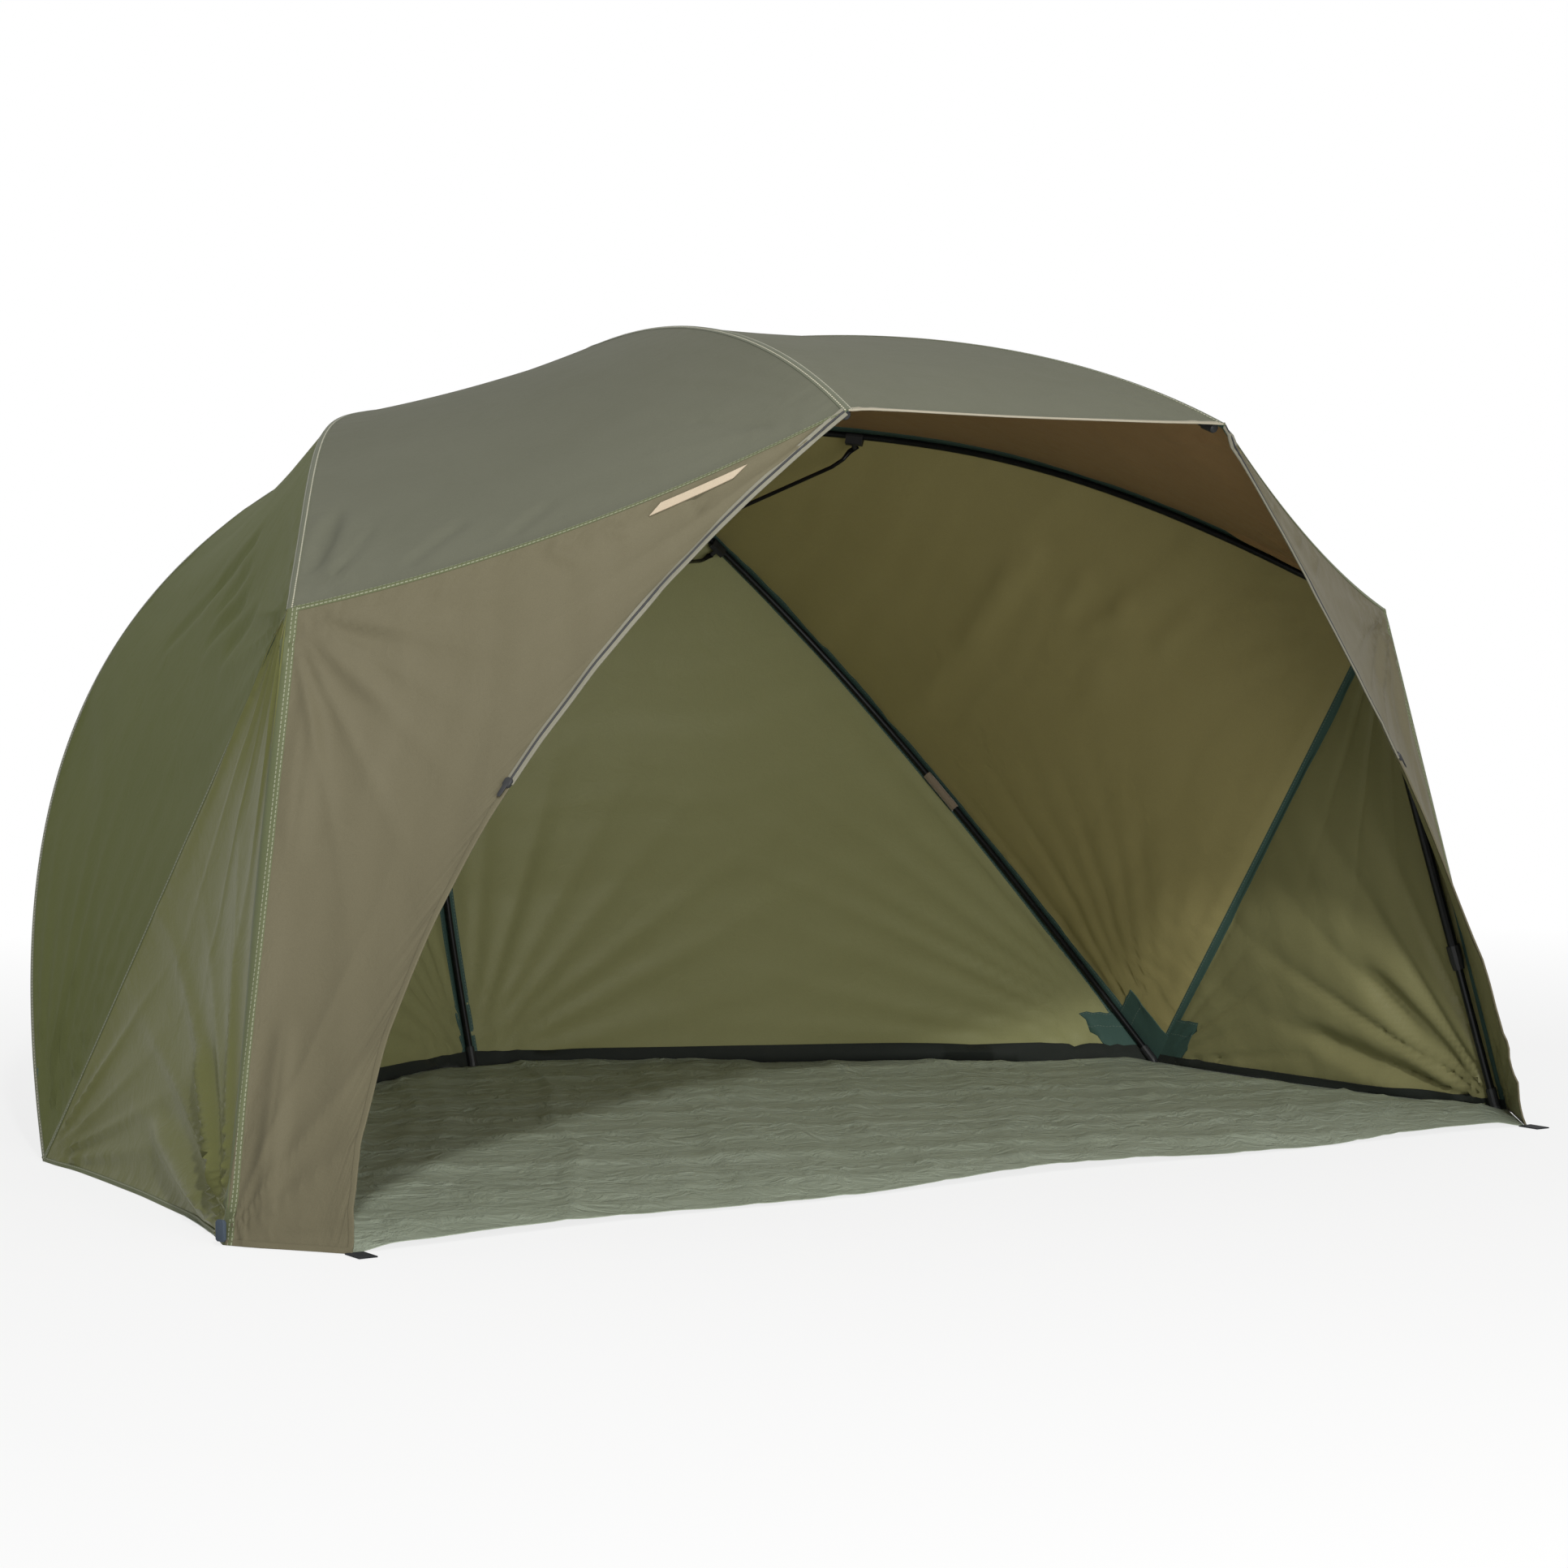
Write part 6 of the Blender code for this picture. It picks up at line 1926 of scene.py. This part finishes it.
@dataclass
class Studio:
    """Plain floor, soft light and the camera."""

    camera_place: Place = (-3.543, -4.855, 0.930)
    camera_pitch_deg: float = 2.73
    camera_yaw_deg: float = 33.6
    lens: float = 83.14
    sensor: float = 36.0
    aim: Place = (0.0, 0.5, 0.6)
    key: Lamp = Lamp("key", (-0.80, -1.455, 1.239), 7.0, 0.35, 172.0)
    fill: Lamp = Lamp("fill", (-0.22, -1.0, 0.12), 5.2, 2.6, 95.0)
    sky_level: float = 0.40
    floor_size: float = 60.0
    floor_drop: float = 1.0 * MM
    shadow_reach: float = 2.2
    white_reach: float = 5.0
    near_white: float = 0.80
    floor_colour: Colour = (0.74, 0.74, 0.73)
    floor_roughness: float = 0.9

    def build(self) -> None:
        """Sets the stage."""
        self.floor()
        self.world()
        self.key.hang(self.aim)
        self.fill.hang(self.aim)
        self.camera()
        bpy.context.scene.view_settings.view_transform = "Standard"

    def floor(self) -> None:
        """A pale floor that keeps the shadow."""
        half = self.floor_size / 2.0
        corners = [(x * half, y * half, -self.floor_drop) for x, y in ((-1, -1), (1, -1), (1, 1), (-1, 1))]
        mesh = bpy.data.meshes.new("floor")
        mesh.from_pydata(corners, [], [(0, 1, 2, 3)])
        floor = add_object("floor", mesh)
        material, nodes, shader = new_material("pale_floor")
        nodes.feed(shader, {"Base Color": (*self.floor_colour, 1.0), "Roughness": self.floor_roughness})
        glow = nodes.add("ShaderNodeEmission", {"Color": (1.0, 1.0, 1.0, 1.0), "Strength": 1.0})
        where = nodes.add("ShaderNodeTexCoord").outputs["Object"]
        away = nodes.add("ShaderNodeVectorMath", {0: where}, operation="LENGTH").outputs["Value"]
        white = nodes.remap(away, self.shadow_reach, self.white_reach, self.near_white, 1.0)
        mix = nodes.add("ShaderNodeMixShader", {0: nodes.math("MULTIPLY", nodes.seen(), white),
                                                1: shader.outputs[0], 2: glow.outputs[0]})
        nodes.feed(nodes.tree.nodes["Material Output"], {"Surface": mix.outputs[0]})
        mesh.materials.append(material)

    def world(self) -> None:
        """Even light from all round, white where it is seen."""
        world = bpy.data.worlds.new("studio")
        bpy.context.scene.world = world
        world.use_nodes = True
        nodes = Nodes(world.node_tree)
        strength = nodes.remap(nodes.seen(), 0.0, 1.0, self.sky_level, 1.0)
        nodes.feed(nodes.tree.nodes["Background"], {"Color": (1.0, 1.0, 1.0, 1.0), "Strength": strength})

    def camera(self) -> None:
        """The camera at the photograph's angle."""
        lens = bpy.data.cameras.new("camera")
        lens.lens = self.lens
        lens.sensor_width = self.sensor
        camera = add_object("camera", lens)
        camera.location = self.camera_place
        camera.rotation_euler = (math.radians(90.0 - self.camera_pitch_deg), 0.0, math.radians(-self.camera_yaw_deg))
        bpy.context.scene.camera = camera


def main() -> None:
    """Builds the shelter's looks in order."""
    logging.basicConfig(level=logging.INFO, format="%(name)s %(message)s")
    shop = Workshop()
    covers = Covers(shop)
    covers.build()
    Seams(shop, covers).build()
    Trimmings(shop, covers).build()
    RibFrame(shop, covers).build()
    FrameNodes(shop).build()
    Groundsheet(shop).build()
    Studio().build()


if __name__ == "__main__":
    main()
